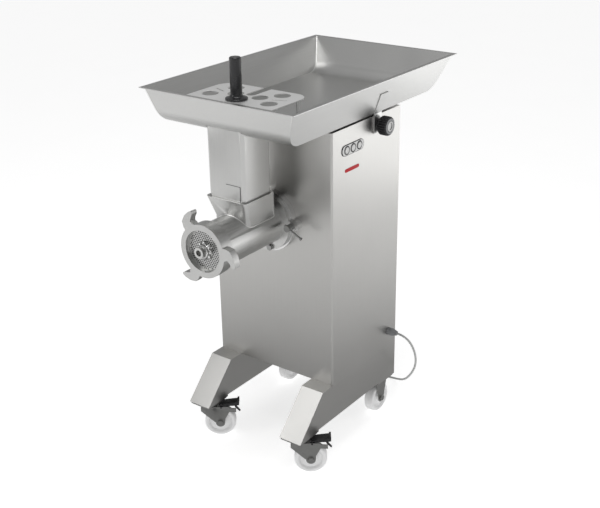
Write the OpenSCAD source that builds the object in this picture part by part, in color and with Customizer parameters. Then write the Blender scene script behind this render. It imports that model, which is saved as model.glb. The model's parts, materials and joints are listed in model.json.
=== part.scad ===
// Floor-standing electric meat grinder on castors.
// The origin is on the floor under the middle of the machine. +Z is up, the mincing head looks
// along -Y, and the controls are on the +X side.

/* [Cabinet] */
// Width of the cabinet
cabinet_w = 440; // [380:1:540]
// Depth of the cabinet, front to back
cabinet_d = 360; // [330:1:440]
// Height of the cabinet above the legs
cabinet_h = 797; // [760:1:960]
// Distance of the front panel ahead of the origin
cabinet_ahead = 143; // [120:1:160]
// Thickness of the cabinet's sheet
sheet = 2; // [1.5:0.5:3]
// Bend radius of the two front corners
corner_r = 6; // [4:1:12]

/* [Legs] */
// Width of one leg beam
leg_w = 80; // [66:1:100]
// Height of the leg beams
leg_h = 123; // [90:1:150]
// Length of beam top left showing ahead of the cabinet
leg_step = 51; // [30:1:80]
// Run of the sloped toe
leg_toe = 118; // [60:1:150]
// Thickness of the leg's sheet
leg_sheet = 3; // [2:0.5:5]
// Length of the pad over each castor
pad_l = 95; // [90:1:120]
// Depth of the pad below the beam
pad_h = 6; // [3:1:12]

/* [Castors] */
// Height from the floor to the underside of the legs
castor_h = 128; // [120:1:160]
// Wheel diameter
wheel_d = 100; // [80:1:112]
// Wheel width
wheel_w = 32; // [24:1:40]
// Distance of the axle behind the swivel axis
castor_trail = 35; // [20:1:40]
// Direction in which the front castors trail
castor_turn = 37; // [0:1:359]
// Diameter of the axles
axle_d = 12; // [8:1:16]
// Thickness of the castor plates
castor_plate_t = 4; // [3:0.5:6]
// Distance between castor bolts along the leg
castor_bolt_l = 70; // [66:1:74]
// Distance between castor bolts across the leg
castor_bolt_w = 56; // [46:1:60]

/* [Tray] */
// Width over the rim
tray_w = 540; // [480:1:640]
// Length over the rim
tray_l = 850; // [820:1:1000]
// Depth of the tray
tray_depth = 106; // [90:1:140]
// Distance of the rim's back edge behind the origin
tray_back = 468; // [440:1:560]
// Width of the flat rim
rim_w = 10; // [6:1:20]
// Outward run of the side walls
side_run = 37; // [20:1:50]
// Outward run of the front wall
front_run = 28; // [15:1:50]
// Outward run of the back wall
back_run = 58; // [20:1:90]
// Radius where the end walls bend into the floor
tray_bend = 60; // [30:1:80]
// Thickness of the tray's sheet
tray_sheet = 2; // [1.5:0.5:3]
// Gap between the cabinet and the tray
tray_gap = 8; // [5:1:15]

/* [Feed tube and guard] */
// Width of the feed tube
tube_w = 130; // [100:1:130]
// Depth of the feed tube
tube_d = 120; // [90:1:120]
// Corner radius of the feed tube
tube_r = 12; // [6:1:25]
// Distance of the feed tube's centre ahead of the origin
tube_ahead = 280.5; // [270:0.5:290]
// Width of the finger guard
guard_w = 300; // [260:1:340]
// Length of the finger guard
guard_l = 220; // [205:1:240]
// Height of the guard's top above the tray floor
guard_rise = 88; // [60:1:100]
// Thickness of the guard plate
guard_t = 3; // [2:0.5:4]
// Diameter of the guard's round openings
guard_hole_d = 48; // [36:1:52]
// Diameter of the pusher's stem
stem_d = 52; // [40:1:60]
// Diameter of the pusher's handle
handle_d = 33; // [26:1:40]
// Height of the handle above the guard
handle_h = 117; // [90:1:150]

/* [Mincing head] */
// Height of the head's axis above the floor
axis_z = 753; // [730:1:780]
// Outer diameter of the barrel
barrel_d = 135; // [130:1:140]
// Bore of the barrel
barrel_bore = 112; // [104:1:116]
// Diameter of the hole plate
plate_d = 130; // [126:1:134]
// Thickness of the hole plate
plate_t = 14; // [8:1:18]
// Diameter of the holes in the plate
plate_hole_d = 4.5; // [3:0.5:4.5]
// Distance between the plate's holes
plate_pitch = 6.4; // [6:0.1:8]
// Outer diameter of the ring nut
nut_d = 157; // [152:1:164]
// Length of the ring nut
nut_l = 42; // [38:1:48]
// Depth of the ring nut's front lip
nut_lip = 14.5; // [8:0.5:18]
// Diameter of the ring nut's opening
nut_opening = 122; // [110:1:124]
// Distance of the ring nut's front face ahead of the origin
nut_ahead = 453; // [440:1:456]
// Diameter of the auger's front stud
stud_d = 32; // [24:1:36]
// Distance of the stud's tip ahead of the origin
stud_ahead = 468; // [460:1:470]
// Pitch of the auger's flight
auger_pitch = 62; // [50:1:80]
// Height of the top of the neck above the head's axis
neck_rise = 119; // [112:1:125]

/* [Controls] */
// Length of the button plate
button_plate_l = 110; // [100:1:120]
// Height of the button plate
button_plate_h = 30; // [27:1:36]
// Distance between buttons
button_pitch = 32; // [28:1:36]
// Diameter of a button
button_d = 20; // [16:1:24]
// Travel of a button
button_travel = 3; // [1:0.5:4]
// Diameter of the lock knob
knob_d = 57; // [40:1:60]
// Length of the lock knob
knob_l = 38; // [25:1:40]
// Width of the lock tab
tab_w = 41; // [30:1:60]

/* [Drive] */
// Module of the gears
gear_m = 2.5; // [2.5:0.1:2.5]
// Teeth of the output gear
output_teeth = 60; // [60:1:60]
// Teeth of the layshaft's large gear
lay_teeth = 50; // [50:1:50]
// Teeth of both pinions
pinion_teeth = 20; // [20:1:20]
// Diameter of the motor
motor_d = 160; // [140:1:180]
// Length of the motor's body
motor_l = 154; // [140:1:160]

/* [Cord] */
// Diameter of the mains cord
cord_d = 7; // [6:0.5:8]

/* [Hidden] */
$fn = 48;
eps = 1;              // how far a cutter passes its face
run_gap = 0.05;       // radial clearance of a shaft in its bore
clear_gap = 0.3;      // clearance between pieces that pass each other

// Cabinet
front_y = -cabinet_ahead;
back_y = front_y + cabinet_d;
base_z = castor_h + leg_h;
top_z = base_z + cabinet_h;
side_x = cabinet_w / 2;
inner_x = side_x - sheet;
return_w = 25;

// Legs and castors
toe_y = front_y - leg_step - leg_toe;
leg_x = side_x - leg_w / 2;
front_castor_y = toe_y + pad_l / 2;
rear_castor_y = back_y - pad_l / 2;
castor_plate_w = castor_bolt_w + 20;
castor_plate_l = castor_bolt_l + 25;
bolt_hole_r = 4.2;
wheel_r = wheel_d / 2;
fork_t = 3;
fork_in = wheel_w / 2 + 2;
crown_z = wheel_d + 8;
crown_t = 4;
race_r = 26;
axle_r = axle_d / 2;
brake_pivot = [castor_trail + 4, crown_z - 3];
pin_r = 3;

// Tray
floor_z = top_z + tray_gap;
rim_z = floor_z + tray_depth;
rim_front = tray_back - tray_l;
floor_half = tray_w / 2 - rim_w - side_run;
wall_front = rim_front + rim_w;
wall_back = tray_back - rim_w;
guard_z = floor_z + guard_rise;
guard_front = wall_front + front_run * (1 - guard_rise / tray_depth) + tray_sheet + 2;
tube_y = -tube_ahead;
tube_sheet = 2;
tube_end_z = axis_z + neck_rise - 12;
stem_end_z = axis_z + barrel_bore / 2 + 15;

// Head
barrel_r = barrel_d / 2;
bore_r = barrel_bore / 2;
plate_r = plate_d / 2;
thread_r = plate_r + 8;
nut_front = -nut_ahead;
nut_back = nut_front + nut_l;
plate_front = nut_front + nut_lip + clear_gap;
plate_back = plate_front + plate_t;
collar_l = 19;
flange_t = 14;
head_rear = front_y - collar_l;
flange_r = barrel_r + 22.5;
collar_r = flange_r + 6;
rear_wall = 20;
journal_r = 34;
knife_t = 16;
knife_front = plate_back + clear_gap;
knife_back = knife_front + knife_t;
chamber_r = plate_r - 5;
square_w = 30;
stud_r = stud_d / 2;
lug_t = 22;
clamp_x = flange_r + 8;
clamp_dz = 4;
ear_r = 17;
screw_r = 6;
bar_droop = 27;
bolt_polar = 75;
bolt_ring_r = flange_r - 10;

// Drive train
output_r = gear_m * output_teeth / 2;
lay_r = gear_m * lay_teeth / 2;
pinion_r = gear_m * pinion_teeth / 2;
lay_z = axis_z - output_r - pinion_r;
motor_z = lay_z - lay_r - pinion_r;
box_front = front_y + sheet;
box_wall = 20;
box_side = 8;
box_half = output_r + gear_m + 10 + box_side;
box_top = axis_z + output_r + gear_m + 12 + box_side;
box_bottom = motor_z - pinion_r - gear_m - 5 - box_side;
cover_front = box_front + 119;
cover_t = 18;
cover_back = cover_front + cover_t;
output_face = [box_front + 41, box_front + 73];
lay_face = [box_front + 85, box_front + 111];
bearing_front = [30, 47.5, 18];
bearing_rear = [20, 40, 18];
bearing_lay = [12.5, 26, 15];
motor_shaft_r = 12;
motor_back = cover_back + motor_l;
seal_bore_r = 46;
seal_w = 10;

// Controls
panel_y = front_y + 103.5;
panel_z = top_z - 66;
knob_y = front_y + 235.5;
knob_z = top_z - 30;
knob_stud_r = 5;
tab_t = 3;
tab_gap = 1;
tab_low = 22;
knob_x = side_x + tab_gap + tab_t + clear_gap;
gland_y = back_y - 40.5;
gland_z = base_z + 52;
gland_l = 32;

// Cord: the stretch from the gland to the coil. Where the gland moves, each point goes with it by
// its share of the height above the floor.
cord_r = cord_d / 2;
cord_lie = 3.8;
gland_exit = [side_x + gland_l, gland_y, gland_z];
cord_points = [
  [252, 176.5, 303], [266, 176.5, 302], [279, 178.5, 297], [290, 184, 286], [297, 193, 268],
  [300, 205, 244], [298, 220, 214], [290, 237, 183], [276, 256, 151], [258, 277, 121],
  [238, 299, 92], [217, 320, 65], [195, 339, 40], [172, 356, 20], [147, 367, 8],
  [120, 369, 4], [90, 363, cord_lie], [60, 353, cord_lie], [30, 344, cord_lie], [0, 339, cord_lie],
  [-30, 338, cord_lie]
];
cord_route = [for (p = cord_points)
  p + (gland_exit - cord_points[0]) * (p[2] - cord_lie) / (cord_points[0][2] - cord_lie)];
coil_at = [-30, 385];
coil_mean_r = 40;
coil_w = 21;
coil_h = 14;
plug_at = [-87, 390];

// Draws children in the front view: local X is +X, local Y is up, local Z comes forward.
module facing(y, z = axis_z, x = 0) {
  translate([x, y, z]) rotate([90, 0, 0]) children();
}

// Draws children standing on the +X side: local Z points along +X.
module on_side(x, y, z) {
  translate([x, y, z]) rotate([0, 90, 0]) children();
}

// Box from one corner to the other.
module span(low, high) {
  translate(low) cube(high - low);
}

// Flat ring.
module ring(outer_r, inner_r, h) {
  difference() {
    cylinder(r = outer_r, h = h);
    translate([0, 0, -eps]) cylinder(r = inner_r, h = h + 2 * eps);
  }
}

// Rectangle with four round corners, centred.
module rounded_rect(w, d, r) {
  square([w - 2 * r, d], center = true);
  square([w, d - 2 * r], center = true);
  for (sx = [-1, 1], sy = [-1, 1])
    translate([sx * (w / 2 - r), sy * (d / 2 - r)]) circle(r = r);
}

// Points of an arc.
function arc(c, r, from, to, n) =
  [for (i = [0:n]) let (a = from + (to - from) * i / n) [c[0] + r * cos(a), c[1] + r * sin(a)]];

// Involute flank point at radius r of a gear of base radius rb: its turn from the flank's start.
function inv_turn(r, rb) =
  let (t = sqrt(max(0, r * r / (rb * rb) - 1))) t * 180 / PI - atan(t);

// One tooth's outline, centred on angle 0, from root to root.
function tooth(n, m, thin = 0.12) =
  let (
    rp = m * n / 2, rb = rp * cos(20), ro = rp + m, rr = rp - 1.25 * m,
    half = 90 / n - thin * 180 / PI / rp / 2 + inv_turn(rp, rb),
    up = [for (r = [max(rb, rr), rp, ro]) [r, half - inv_turn(r, rb)]]
  )
  concat([[rr, -half]], [for (q = up) [q[0], -q[1]]],
         [for (i = [2:-1:0]) up[i]], [[rr, half]]);

module gear(n, m, h, phase = 0) {
  linear_extrude(height = h)
    polygon([for (k = [0:n - 1]) for (q = tooth(n, m))
      [q[0] * cos(q[1] + phase + k * 360 / n), q[0] * sin(q[1] + phase + k * 360 / n)]]);
}

// ---------------------------------------------------------------- cabinet

plate_sheet = 3;

// Flat plate that closes the shell: its two front corners follow the shell's bends.
module inner_plate(z) {
  depth_mid = (front_y + back_y) / 2;
  translate([0, 0, z]) linear_extrude(height = plate_sheet) {
    translate([0, depth_mid - sheet / 2])
      rounded_rect(2 * inner_x, cabinet_d - 3 * sheet, corner_r - sheet);
    translate([-inner_x, depth_mid]) square([2 * inner_x, cabinet_d / 2 - 2 * sheet]);
  }
}

module base_plate() {
  color("silver") difference() {
    inner_plate(base_z);
    for (i = [-3:3]) translate([i * 24, (front_y + back_y) / 2, base_z - eps])
      linear_extrude(height = plate_sheet + 2 * eps) rounded_rect(8, 120, 3.9);
  }
}

module cabinet_shell() {
  depth_mid = (front_y + back_y) / 2;
  color("lightgray") difference() {
    translate([0, 0, base_z]) linear_extrude(height = cabinet_h) {
      difference() {
        union() {
          translate([0, depth_mid]) rounded_rect(cabinet_w, cabinet_d, corner_r);
          translate([-side_x, depth_mid]) square([cabinet_w, cabinet_d / 2]);
        }
        translate([0, depth_mid]) rounded_rect(2 * inner_x, cabinet_d - 2 * sheet, corner_r - sheet);
        translate([-inner_x, depth_mid]) square([2 * inner_x, cabinet_d]);
      }
      for (sx = [-1, 1]) translate([sx * (inner_x - return_w / 2), back_y - 1.5 * sheet])
        square([return_w, sheet], center = true);
    }
    facing(front_y + sheet + eps) cylinder(r = bearing_front[1] + 3, h = sheet + 2 * eps);
    for (i = [-1:1]) on_side(inner_x - eps, panel_y + i * button_pitch, panel_z)
      cylinder(d = button_d + 1, h = sheet + 2 * eps);
    on_side(inner_x - eps, gland_y, gland_z) cylinder(r = 8, h = sheet + 2 * eps);
    on_side(inner_x - eps, knob_y, knob_z) cylinder(r = knob_stud_r, h = sheet + 2 * eps);
  }
}

module top_plate() { color("lightgray") inner_plate(top_z - plate_sheet); }

rear_w = 2 * inner_x - 1;
rear_low = base_z + 2;
rear_high = top_z - 2;
rear_screw_x = inner_x - return_w / 2;

module rear_screw_places() {
  for (sx = [-1, 1], i = [0:2])
    translate([sx * rear_screw_x, back_y, rear_low + 20 + i * (rear_high - rear_low - 40) / 2])
      children();
}

module rear_cover() {
  color("lightgray") difference() {
    span([-rear_w / 2, back_y - sheet, rear_low], [rear_w / 2, back_y, rear_high]);
    for (i = [0:7], low = [rear_low + 60, rear_high - 200])
      translate([0, back_y - sheet / 2, low + i * 16]) rotate([90, 0, 0])
        translate([0, 0, -sheet]) linear_extrude(height = 2 * sheet) rounded_rect(160, 5, 2.4);
    rear_screw_places() translate([0, eps, 0]) rotate([90, 0, 0]) cylinder(r = 2.6, h = sheet + 2 * eps);
  }
}

module rear_screws() {
  color("dimgray") rear_screw_places() {
    translate([0, 2.5, 0]) rotate([90, 0, 0]) cylinder(r = 5, h = 2.5);
    translate([0, 0.5, 0]) rotate([90, 0, 0]) cylinder(r = 2.5, h = sheet + 0.5);
  }
}

module tray_seats() {
  color("dimgray") for (sx = [-1, 1], y = [front_y + 45, back_y - 45])
    translate([sx * (side_x - 50), y, top_z]) cylinder(r = 16, h = tray_gap);
}

// ---------------------------------------------------------------- legs and castors

// Side outline of a leg beam with a pad at each castor.
module leg_outline() {
  low = castor_h + pad_h;
  polygon([
    [toe_y, castor_h], [toe_y + pad_l, castor_h], [toe_y + pad_l, low],
    [back_y - pad_l, low], [back_y - pad_l, castor_h], [back_y, castor_h],
    [back_y, base_z], [front_y - leg_step, base_z]
  ]);
}

module leg(x) {
  t = leg_sheet;
  low = castor_h + pad_h;
  slope = leg_toe / leg_h;
  color("silver") difference() {
    translate([x - leg_w / 2, 0, 0]) rotate([90, 0, 90]) linear_extrude(height = leg_w) leg_outline();
    translate([x - leg_w / 2 + t, 0, 0]) rotate([90, 0, 90]) linear_extrude(height = leg_w - 2 * t)
      polygon([
        [toe_y + (low + t - castor_h) * slope + 1.5 * t, low + t], [back_y - t, low + t],
        [back_y - t, base_z - t], [front_y - leg_step + t * 0.4, base_z - t]
      ]);
    for (y = [front_castor_y, rear_castor_y], sx = [-1, 1], sy = [-1, 1])
      translate([x + sx * castor_bolt_w / 2, y + sy * castor_bolt_l / 2, castor_h - eps])
        cylinder(r = bolt_hole_r, h = pad_h + 0.5 + eps);
  }
}

module left_leg() { leg(-leg_x); }
module right_leg() { leg(leg_x); }

module castor_plate() {
  difference() {
    translate([0, 0, castor_h - castor_plate_t]) linear_extrude(height = castor_plate_t)
      rounded_rect(castor_plate_w, castor_plate_l, 8);
    for (sx = [-1, 1], sy = [-1, 1])
      translate([sx * castor_bolt_w / 2, sy * castor_bolt_l / 2, castor_h - castor_plate_t - eps])
        cylinder(r = bolt_hole_r, h = castor_plate_t + 2 * eps);
  }
}

// Top plates of the front castors, each with the pin that the fork turns on.
module castor_plates() {
  color("silver") for (sx = [-1, 1]) translate([sx * leg_x, front_castor_y, 0]) {
    castor_plate();
    translate([0, 0, crown_z - crown_t]) cylinder(r = 8, h = castor_h - castor_plate_t - crown_z + crown_t);
    translate([0, 0, castor_h - castor_plate_t - 3]) cylinder(r = race_r - 4, h = 3);
  }
}

module castor_bolts() {
  color("gray") for (sx = [-1, 1], y = [front_castor_y, rear_castor_y])
    for (bx = [-1, 1], by = [-1, 1])
      translate([sx * leg_x + bx * castor_bolt_w / 2, y + by * castor_bolt_l / 2, 0]) {
        translate([0, 0, castor_h - castor_plate_t]) cylinder(r = 4, h = pad_h + castor_plate_t);
        translate([0, 0, castor_h - castor_plate_t - 5]) cylinder(r = 7, h = 5, $fn = 6);
      }
}

// Cheek of a fork in its own plane: X along the roll, Y up, from the crown to the axle.
module cheek_outline(trail, top) {
  tip = 15;
  difference() {
    union() {
      translate([trail, wheel_r]) circle(r = tip);
      polygon([
        [trail - tip, wheel_r], [trail + tip, wheel_r], [trail + tip + 1, wheel_r + 14],
        [trail + 30, wheel_r + 40], [trail + 30, top], [-race_r, top], [-race_r, top - 14]
      ]);
    }
    translate([trail, wheel_r]) circle(r = axle_r + run_gap);
  }
}

// Both cheeks, standing fork_in to each side of the roll plane.
module cheeks(trail, top) {
  for (sy = [-1, 1]) translate([0, sy * (fork_in + fork_t / 2) + fork_t / 2, 0]) rotate([90, 0, 0])
    linear_extrude(height = fork_t) cheek_outline(trail, top);
}

module axle_pin() {
  reach = fork_in + fork_t;
  translate([0, reach, wheel_r]) rotate([90, 0, 0]) {
    cylinder(r = axle_r, h = 2 * reach);
    translate([0, 0, 2 * reach]) cylinder(r = axle_r + 4, h = 6, $fn = 6);
    translate([0, 0, -5]) cylinder(r = axle_r + 4, h = 5);
  }
}

module wheel() {
  hub_l = wheel_w + 3;
  translate([0, wheel_w / 2, wheel_r]) rotate([90, 0, 0]) difference() {
    rotate_extrude() polygon(concat(
      [[axle_r + run_gap, -1.5], [16, -1.5], [16, 3], [wheel_r - 14, 5]],
      [[wheel_r - 12, 0], [wheel_r - 4, 0]],
      [[wheel_r, 4], [wheel_r, wheel_w - 4], [wheel_r - 4, wheel_w], [wheel_r - 12, wheel_w]],
      [[wheel_r - 14, wheel_w - 5], [16, wheel_w - 3], [16, hub_l - 1.5], [axle_r + run_gap, hub_l - 1.5]]
    ));
  }
}

// Swivel fork: it turns on the plate's pin, trails along +X and carries the brake's pivot.
module swivel_fork() {
  brake_l = castor_trail + 52;
  difference() {
    union() {
      cheeks(castor_trail, crown_z);
      translate([0, 0, crown_z - crown_t]) cylinder(r = race_r, h = crown_t);
      translate([0, 0, crown_z]) cylinder(r = race_r - 4, h = castor_h - castor_plate_t - 4 - crown_z);
      for (sy = [-1, 1]) translate([0, sy * (fork_in + fork_t / 2) + fork_t / 2, 0]) rotate([90, 0, 0])
        linear_extrude(height = fork_t) polygon([
          [0, crown_z], [brake_l, crown_z - 6], [brake_l, crown_z - 20], [castor_trail + 20, crown_z - 18]
        ]);
    }
    translate([0, 0, crown_z - crown_t - eps])
      cylinder(r = 8 + run_gap, h = castor_h - crown_z + 2 * eps);
    translate([brake_pivot[0], fork_in + fork_t + eps, brake_pivot[1]]) rotate([90, 0, 0])
      cylinder(r = pin_r + run_gap, h = 2 * (fork_in + fork_t + eps));
  }
  translate([castor_trail, 0, 0]) axle_pin();
}

// Brake pedal with its fin and the thin release lever; it rocks on a pin in the cheeks.
module brake_pedal() {
  half = wheel_w / 2;
  top = castor_h - castor_plate_t;
  px = brake_pivot[0];
  pz = brake_pivot[1];
  tail = castor_trail + 62;
  translate([0, half, 0]) rotate([90, 0, 0]) linear_extrude(height = 2 * half) polygon([
    [px - 5, pz + 8], [px - 5, pz + 3], [px + 18, pz + 3.5], [tail - 12, pz + 4], [tail, pz + 6],
    [tail, top + 1], [tail - 5, top + 1], [tail - 7, top - 4], [castor_trail + 26, top - 7]
  ]);
  translate([px, fork_in + fork_t, pz]) rotate([90, 0, 0])
    cylinder(r = pin_r, h = 2 * (fork_in + fork_t));
  for (sy = [-1, 1]) translate([0, sy * (half - 3) + 3, 0]) rotate([90, 0, 0])
    linear_extrude(height = 6)
      polygon([[px - 5, pz + 4], [px - 4, pz - 2], [px, pz - 3.5], [px + 4, pz - 2], [px + 8, pz + 4]]);
  translate([0, 4, 0]) rotate([90, 0, 0]) linear_extrude(height = 8) polygon([
    [tail - 18, pz + 5], [tail - 14, pz - 9], [tail, pz - 24], [tail + 3, pz - 22],
    [tail - 9, pz - 7], [tail - 10, pz + 5]
  ]);
}

module at_front_castor(sx) {
  translate([sx * leg_x, front_castor_y, 0]) rotate([0, 0, castor_turn]) children();
}

module left_fork() { color("silver") at_front_castor(-1) swivel_fork(); }
module right_fork() { color("silver") at_front_castor(1) swivel_fork(); }
module left_wheel() { color("whitesmoke") at_front_castor(-1) translate([castor_trail, 0, 0]) wheel(); }
module right_wheel() { color("whitesmoke") at_front_castor(1) translate([castor_trail, 0, 0]) wheel(); }
module left_brake() { color("black") at_front_castor(-1) brake_pedal(); }
module right_brake() { color("black") at_front_castor(1) brake_pedal(); }

module at_rear_castor(sx) {
  translate([sx * leg_x, rear_castor_y, 0]) rotate([0, 0, 90]) children();
}

module rear_forks() {
  top = castor_h - castor_plate_t;
  tip = 15;
  color("silver") for (sx = [-1, 1]) {
    translate([sx * leg_x, rear_castor_y, 0]) castor_plate();
    at_rear_castor(sx) for (sy = [-1, 1])
      translate([0, sy * (fork_in + fork_t / 2) + fork_t / 2, 0]) rotate([90, 0, 0])
        linear_extrude(height = fork_t) difference() {
          union() {
            translate([0, wheel_r]) circle(r = tip);
            polygon([
              [-tip, wheel_r], [tip, wheel_r], [32, top - 8], [32, top], [-32, top], [-32, top - 8]
            ]);
          }
          translate([0, wheel_r]) circle(r = axle_r);
        }
  }
}

module rear_axles() { color("gray") for (sx = [-1, 1]) at_rear_castor(sx) axle_pin(); }
module rear_left_wheel() { color("whitesmoke") at_rear_castor(-1) wheel(); }
module rear_right_wheel() { color("whitesmoke") at_rear_castor(1) wheel(); }

// ---------------------------------------------------------------- tray, feed tube and guard

// End profile of the tray, sheet inwards: side walls flat, floor flat.
module tray_across(t) {
  slip = t * side_run / tray_depth;
  polygon([
    [-floor_half + t - slip, floor_z + t], [floor_half - t + slip, floor_z + t],
    [floor_half + side_run - t, rim_z], [floor_half + side_run - t, rim_z + (t > 0 ? eps : 0)],
    [-floor_half - side_run + t, rim_z + (t > 0 ? eps : 0)], [-floor_half - side_run + t, rim_z]
  ]);
}

// Side profile of the tray: the end walls bend into the floor with a large radius.
module tray_along(t) {
  lean_f = atan(front_run / tray_depth);
  lean_b = atan(back_run / tray_depth);
  r = tray_bend - t;
  foot_f = wall_front + front_run;
  foot_b = wall_back - back_run;
  c_f = [foot_f + tray_bend * tan((90 - lean_f) / 2), floor_z + tray_bend];
  c_b = [foot_b - tray_bend * tan((90 - lean_b) / 2), floor_z + tray_bend];
  polygon(concat(
    arc(c_f, r, 180 + lean_f, 270, 10), arc(c_b, r, 270, 360 - lean_b, 10),
    [[wall_back - t / cos(lean_b), rim_z], [wall_back - t / cos(lean_b), rim_z + (t > 0 ? eps : 0)]],
    [[wall_front + t / cos(lean_f), rim_z + (t > 0 ? eps : 0)], [wall_front + t / cos(lean_f), rim_z]]
  ));
}

// The tray's full form, shrunk by t: the two profiles carried across each other.
module tray_form(t) {
  intersection() {
    translate([0, tray_back, 0]) rotate([90, 0, 0]) linear_extrude(height = tray_l) tray_across(t);
    translate([-tray_w / 2, 0, 0]) rotate([90, 0, 90]) linear_extrude(height = tray_w) tray_along(t);
  }
}

module tray_pan() {
  color("silver") difference() {
    union() {
      tray_form(0);
      span([-tray_w / 2, rim_front, rim_z - tray_sheet], [tray_w / 2, tray_back, rim_z]);
    }
    tray_form(tray_sheet);
    translate([0, tube_y, floor_z - eps]) linear_extrude(height = tray_bend / 2)
      rounded_rect(tube_w - 2 * tube_sheet, tube_d - 2 * tube_sheet, tube_r - tube_sheet);
  }
}

// The tube's top edge follows the underside of the tray, up into the front bend.
module feed_tube() {
  color("gainsboro") difference() {
    translate([0, tube_y, tube_end_z]) linear_extrude(height = floor_z + tray_bend / 2 - tube_end_z)
      difference() {
        rounded_rect(tube_w, tube_d, tube_r);
        rounded_rect(tube_w - 2 * tube_sheet, tube_d - 2 * tube_sheet, tube_r - tube_sheet);
      }
    tray_form(0);
  }
}

guard_holes = [[104, 10], [43, 48], [82, 98]];

module finger_guard() {
  back = guard_front + guard_l;
  mid = guard_front + guard_l / 2;
  slot_w = 28;
  back_r = 45;
  color("gainsboro") {
    translate([0, 0, guard_z - guard_t]) linear_extrude(height = guard_t) difference() {
      union() {
        translate([-guard_w / 2, guard_front]) square([guard_w, guard_l - back_r]);
        translate([-guard_w / 2 + back_r, guard_front]) square([guard_w - 2 * back_r, guard_l]);
        for (sx = [-1, 1]) translate([sx * (guard_w / 2 - back_r), back - back_r]) circle(r = back_r);
      }
      translate([0, tube_y]) circle(d = stem_d + 2);
      translate([-slot_w / 2, tube_y + 50 + slot_w / 2]) square([slot_w, guard_l]);
      translate([0, tube_y + 50 + slot_w / 2]) circle(d = slot_w);
      for (sx = [-1, 1]) {
        for (h = guard_holes) translate([sx * h[0], tube_y + h[1]]) circle(d = guard_hole_d);
        translate([sx * 105, tube_y + 55]) rotate(sx * 21) rounded_rect(44, 5, 2.4);
      }
    }
    for (sx = [-1, 1], y = [tube_y - 8, back - 40]) translate([sx * 135, y, floor_z + tray_sheet])
      cylinder(r = 5, h = guard_rise - guard_t - tray_sheet);
  }
}

// Bent tab welded to the tray's right wall, with a slot that drops over the knob's stud.
module lock_tab() {
  lean = side_run / tray_depth;
  x0 = side_x + tab_gap;
  foot = floor_half;
  up = 60;
  color("silver") difference() {
    translate([0, knob_y + tab_w / 2 - 6, 0]) rotate([90, 0, 0]) linear_extrude(height = tab_w) polygon([
      [x0, knob_z - tab_low], [x0 + tab_t, knob_z - tab_low], [x0 + tab_t, floor_z - 2],
      [foot + lean * up + tab_t * 1.06, floor_z + up], [foot + lean * up, floor_z + up],
      [foot, floor_z], [x0, floor_z]
    ]);
    on_side(x0 - eps, knob_y, knob_z) cylinder(r = knob_stud_r + 1.5, h = tab_t + 2 * eps);
    span([x0 - eps, knob_y - knob_stud_r - 1.5, knob_z - tab_low - eps],
         [x0 + tab_t + eps, knob_y + knob_stud_r + 1.5, knob_z]);
  }
}

module pusher() {
  color("black") translate([0, tube_y, 0]) {
    translate([0, 0, guard_z]) rotate_extrude() polygon([
      [0, 0], [stem_d / 2 + 5.5, 0], [stem_d / 2 + 5.5, 5], [handle_d / 2 + 3, 9], [handle_d / 2, 13],
      [handle_d / 2, handle_h - 1.5], [handle_d / 2 - 1.5, handle_h], [0, handle_h]
    ]);
    translate([0, 0, stem_end_z]) cylinder(d = stem_d, h = guard_z - stem_end_z);
  }
}

// ---------------------------------------------------------------- mincing head

module clamp_ear(y0, t, r) {
  for (sx = [-1, 1]) facing(y0, axis_z + clamp_dz, sx * clamp_x) {
    cylinder(r = r, h = t);
    translate([sx < 0 ? 0 : -36, -r, 0]) cube([36, 2 * r, t]);
  }
}

// Places of the two flange bolts, in the front view at depth y.
module at_flange_bolts(y) {
  for (a = [-bolt_polar, bolt_polar - 180]) facing(y) rotate(a) translate([bolt_ring_r, 0, 0]) children();
}

module mounting_collar() {
  color("silver") difference() {
    union() {
      facing(front_y) cylinder(r = collar_r, h = collar_l);
      clamp_ear(front_y, collar_l, ear_r);
    }
    facing(front_y + eps) cylinder(r = seal_bore_r, h = collar_l + 2 * eps);
    for (sx = [-1, 1]) facing(front_y + eps, axis_z + clamp_dz, sx * clamp_x)
      cylinder(r = screw_r + run_gap, h = collar_l + 2 * eps);
    at_flange_bolts(front_y + eps) cylinder(r = 5, h = collar_l + 2 * eps);
  }
}

neck_top = [tube_w / 2 + 7, tube_d / 2 + 8];
neck_foot = [bore_r, 63];
neck_shift = 27;
neck_wall = 5.5;

// Leaning, tapering block of the neck, shrunk by t.
module neck_form(t, top) {
  low = axis_z + 30;
  hull() {
    translate([0, tube_y, top - 1]) linear_extrude(height = 1)
      rounded_rect(2 * (neck_top[0] - t), 2 * (neck_top[1] - t), tube_r, $fn = 32);
    translate([0, tube_y + neck_shift, low]) linear_extrude(height = 1)
      rounded_rect(2 * (neck_foot[0] - t), 2 * (neck_foot[1] - t), tube_r, $fn = 32);
  }
}

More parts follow.
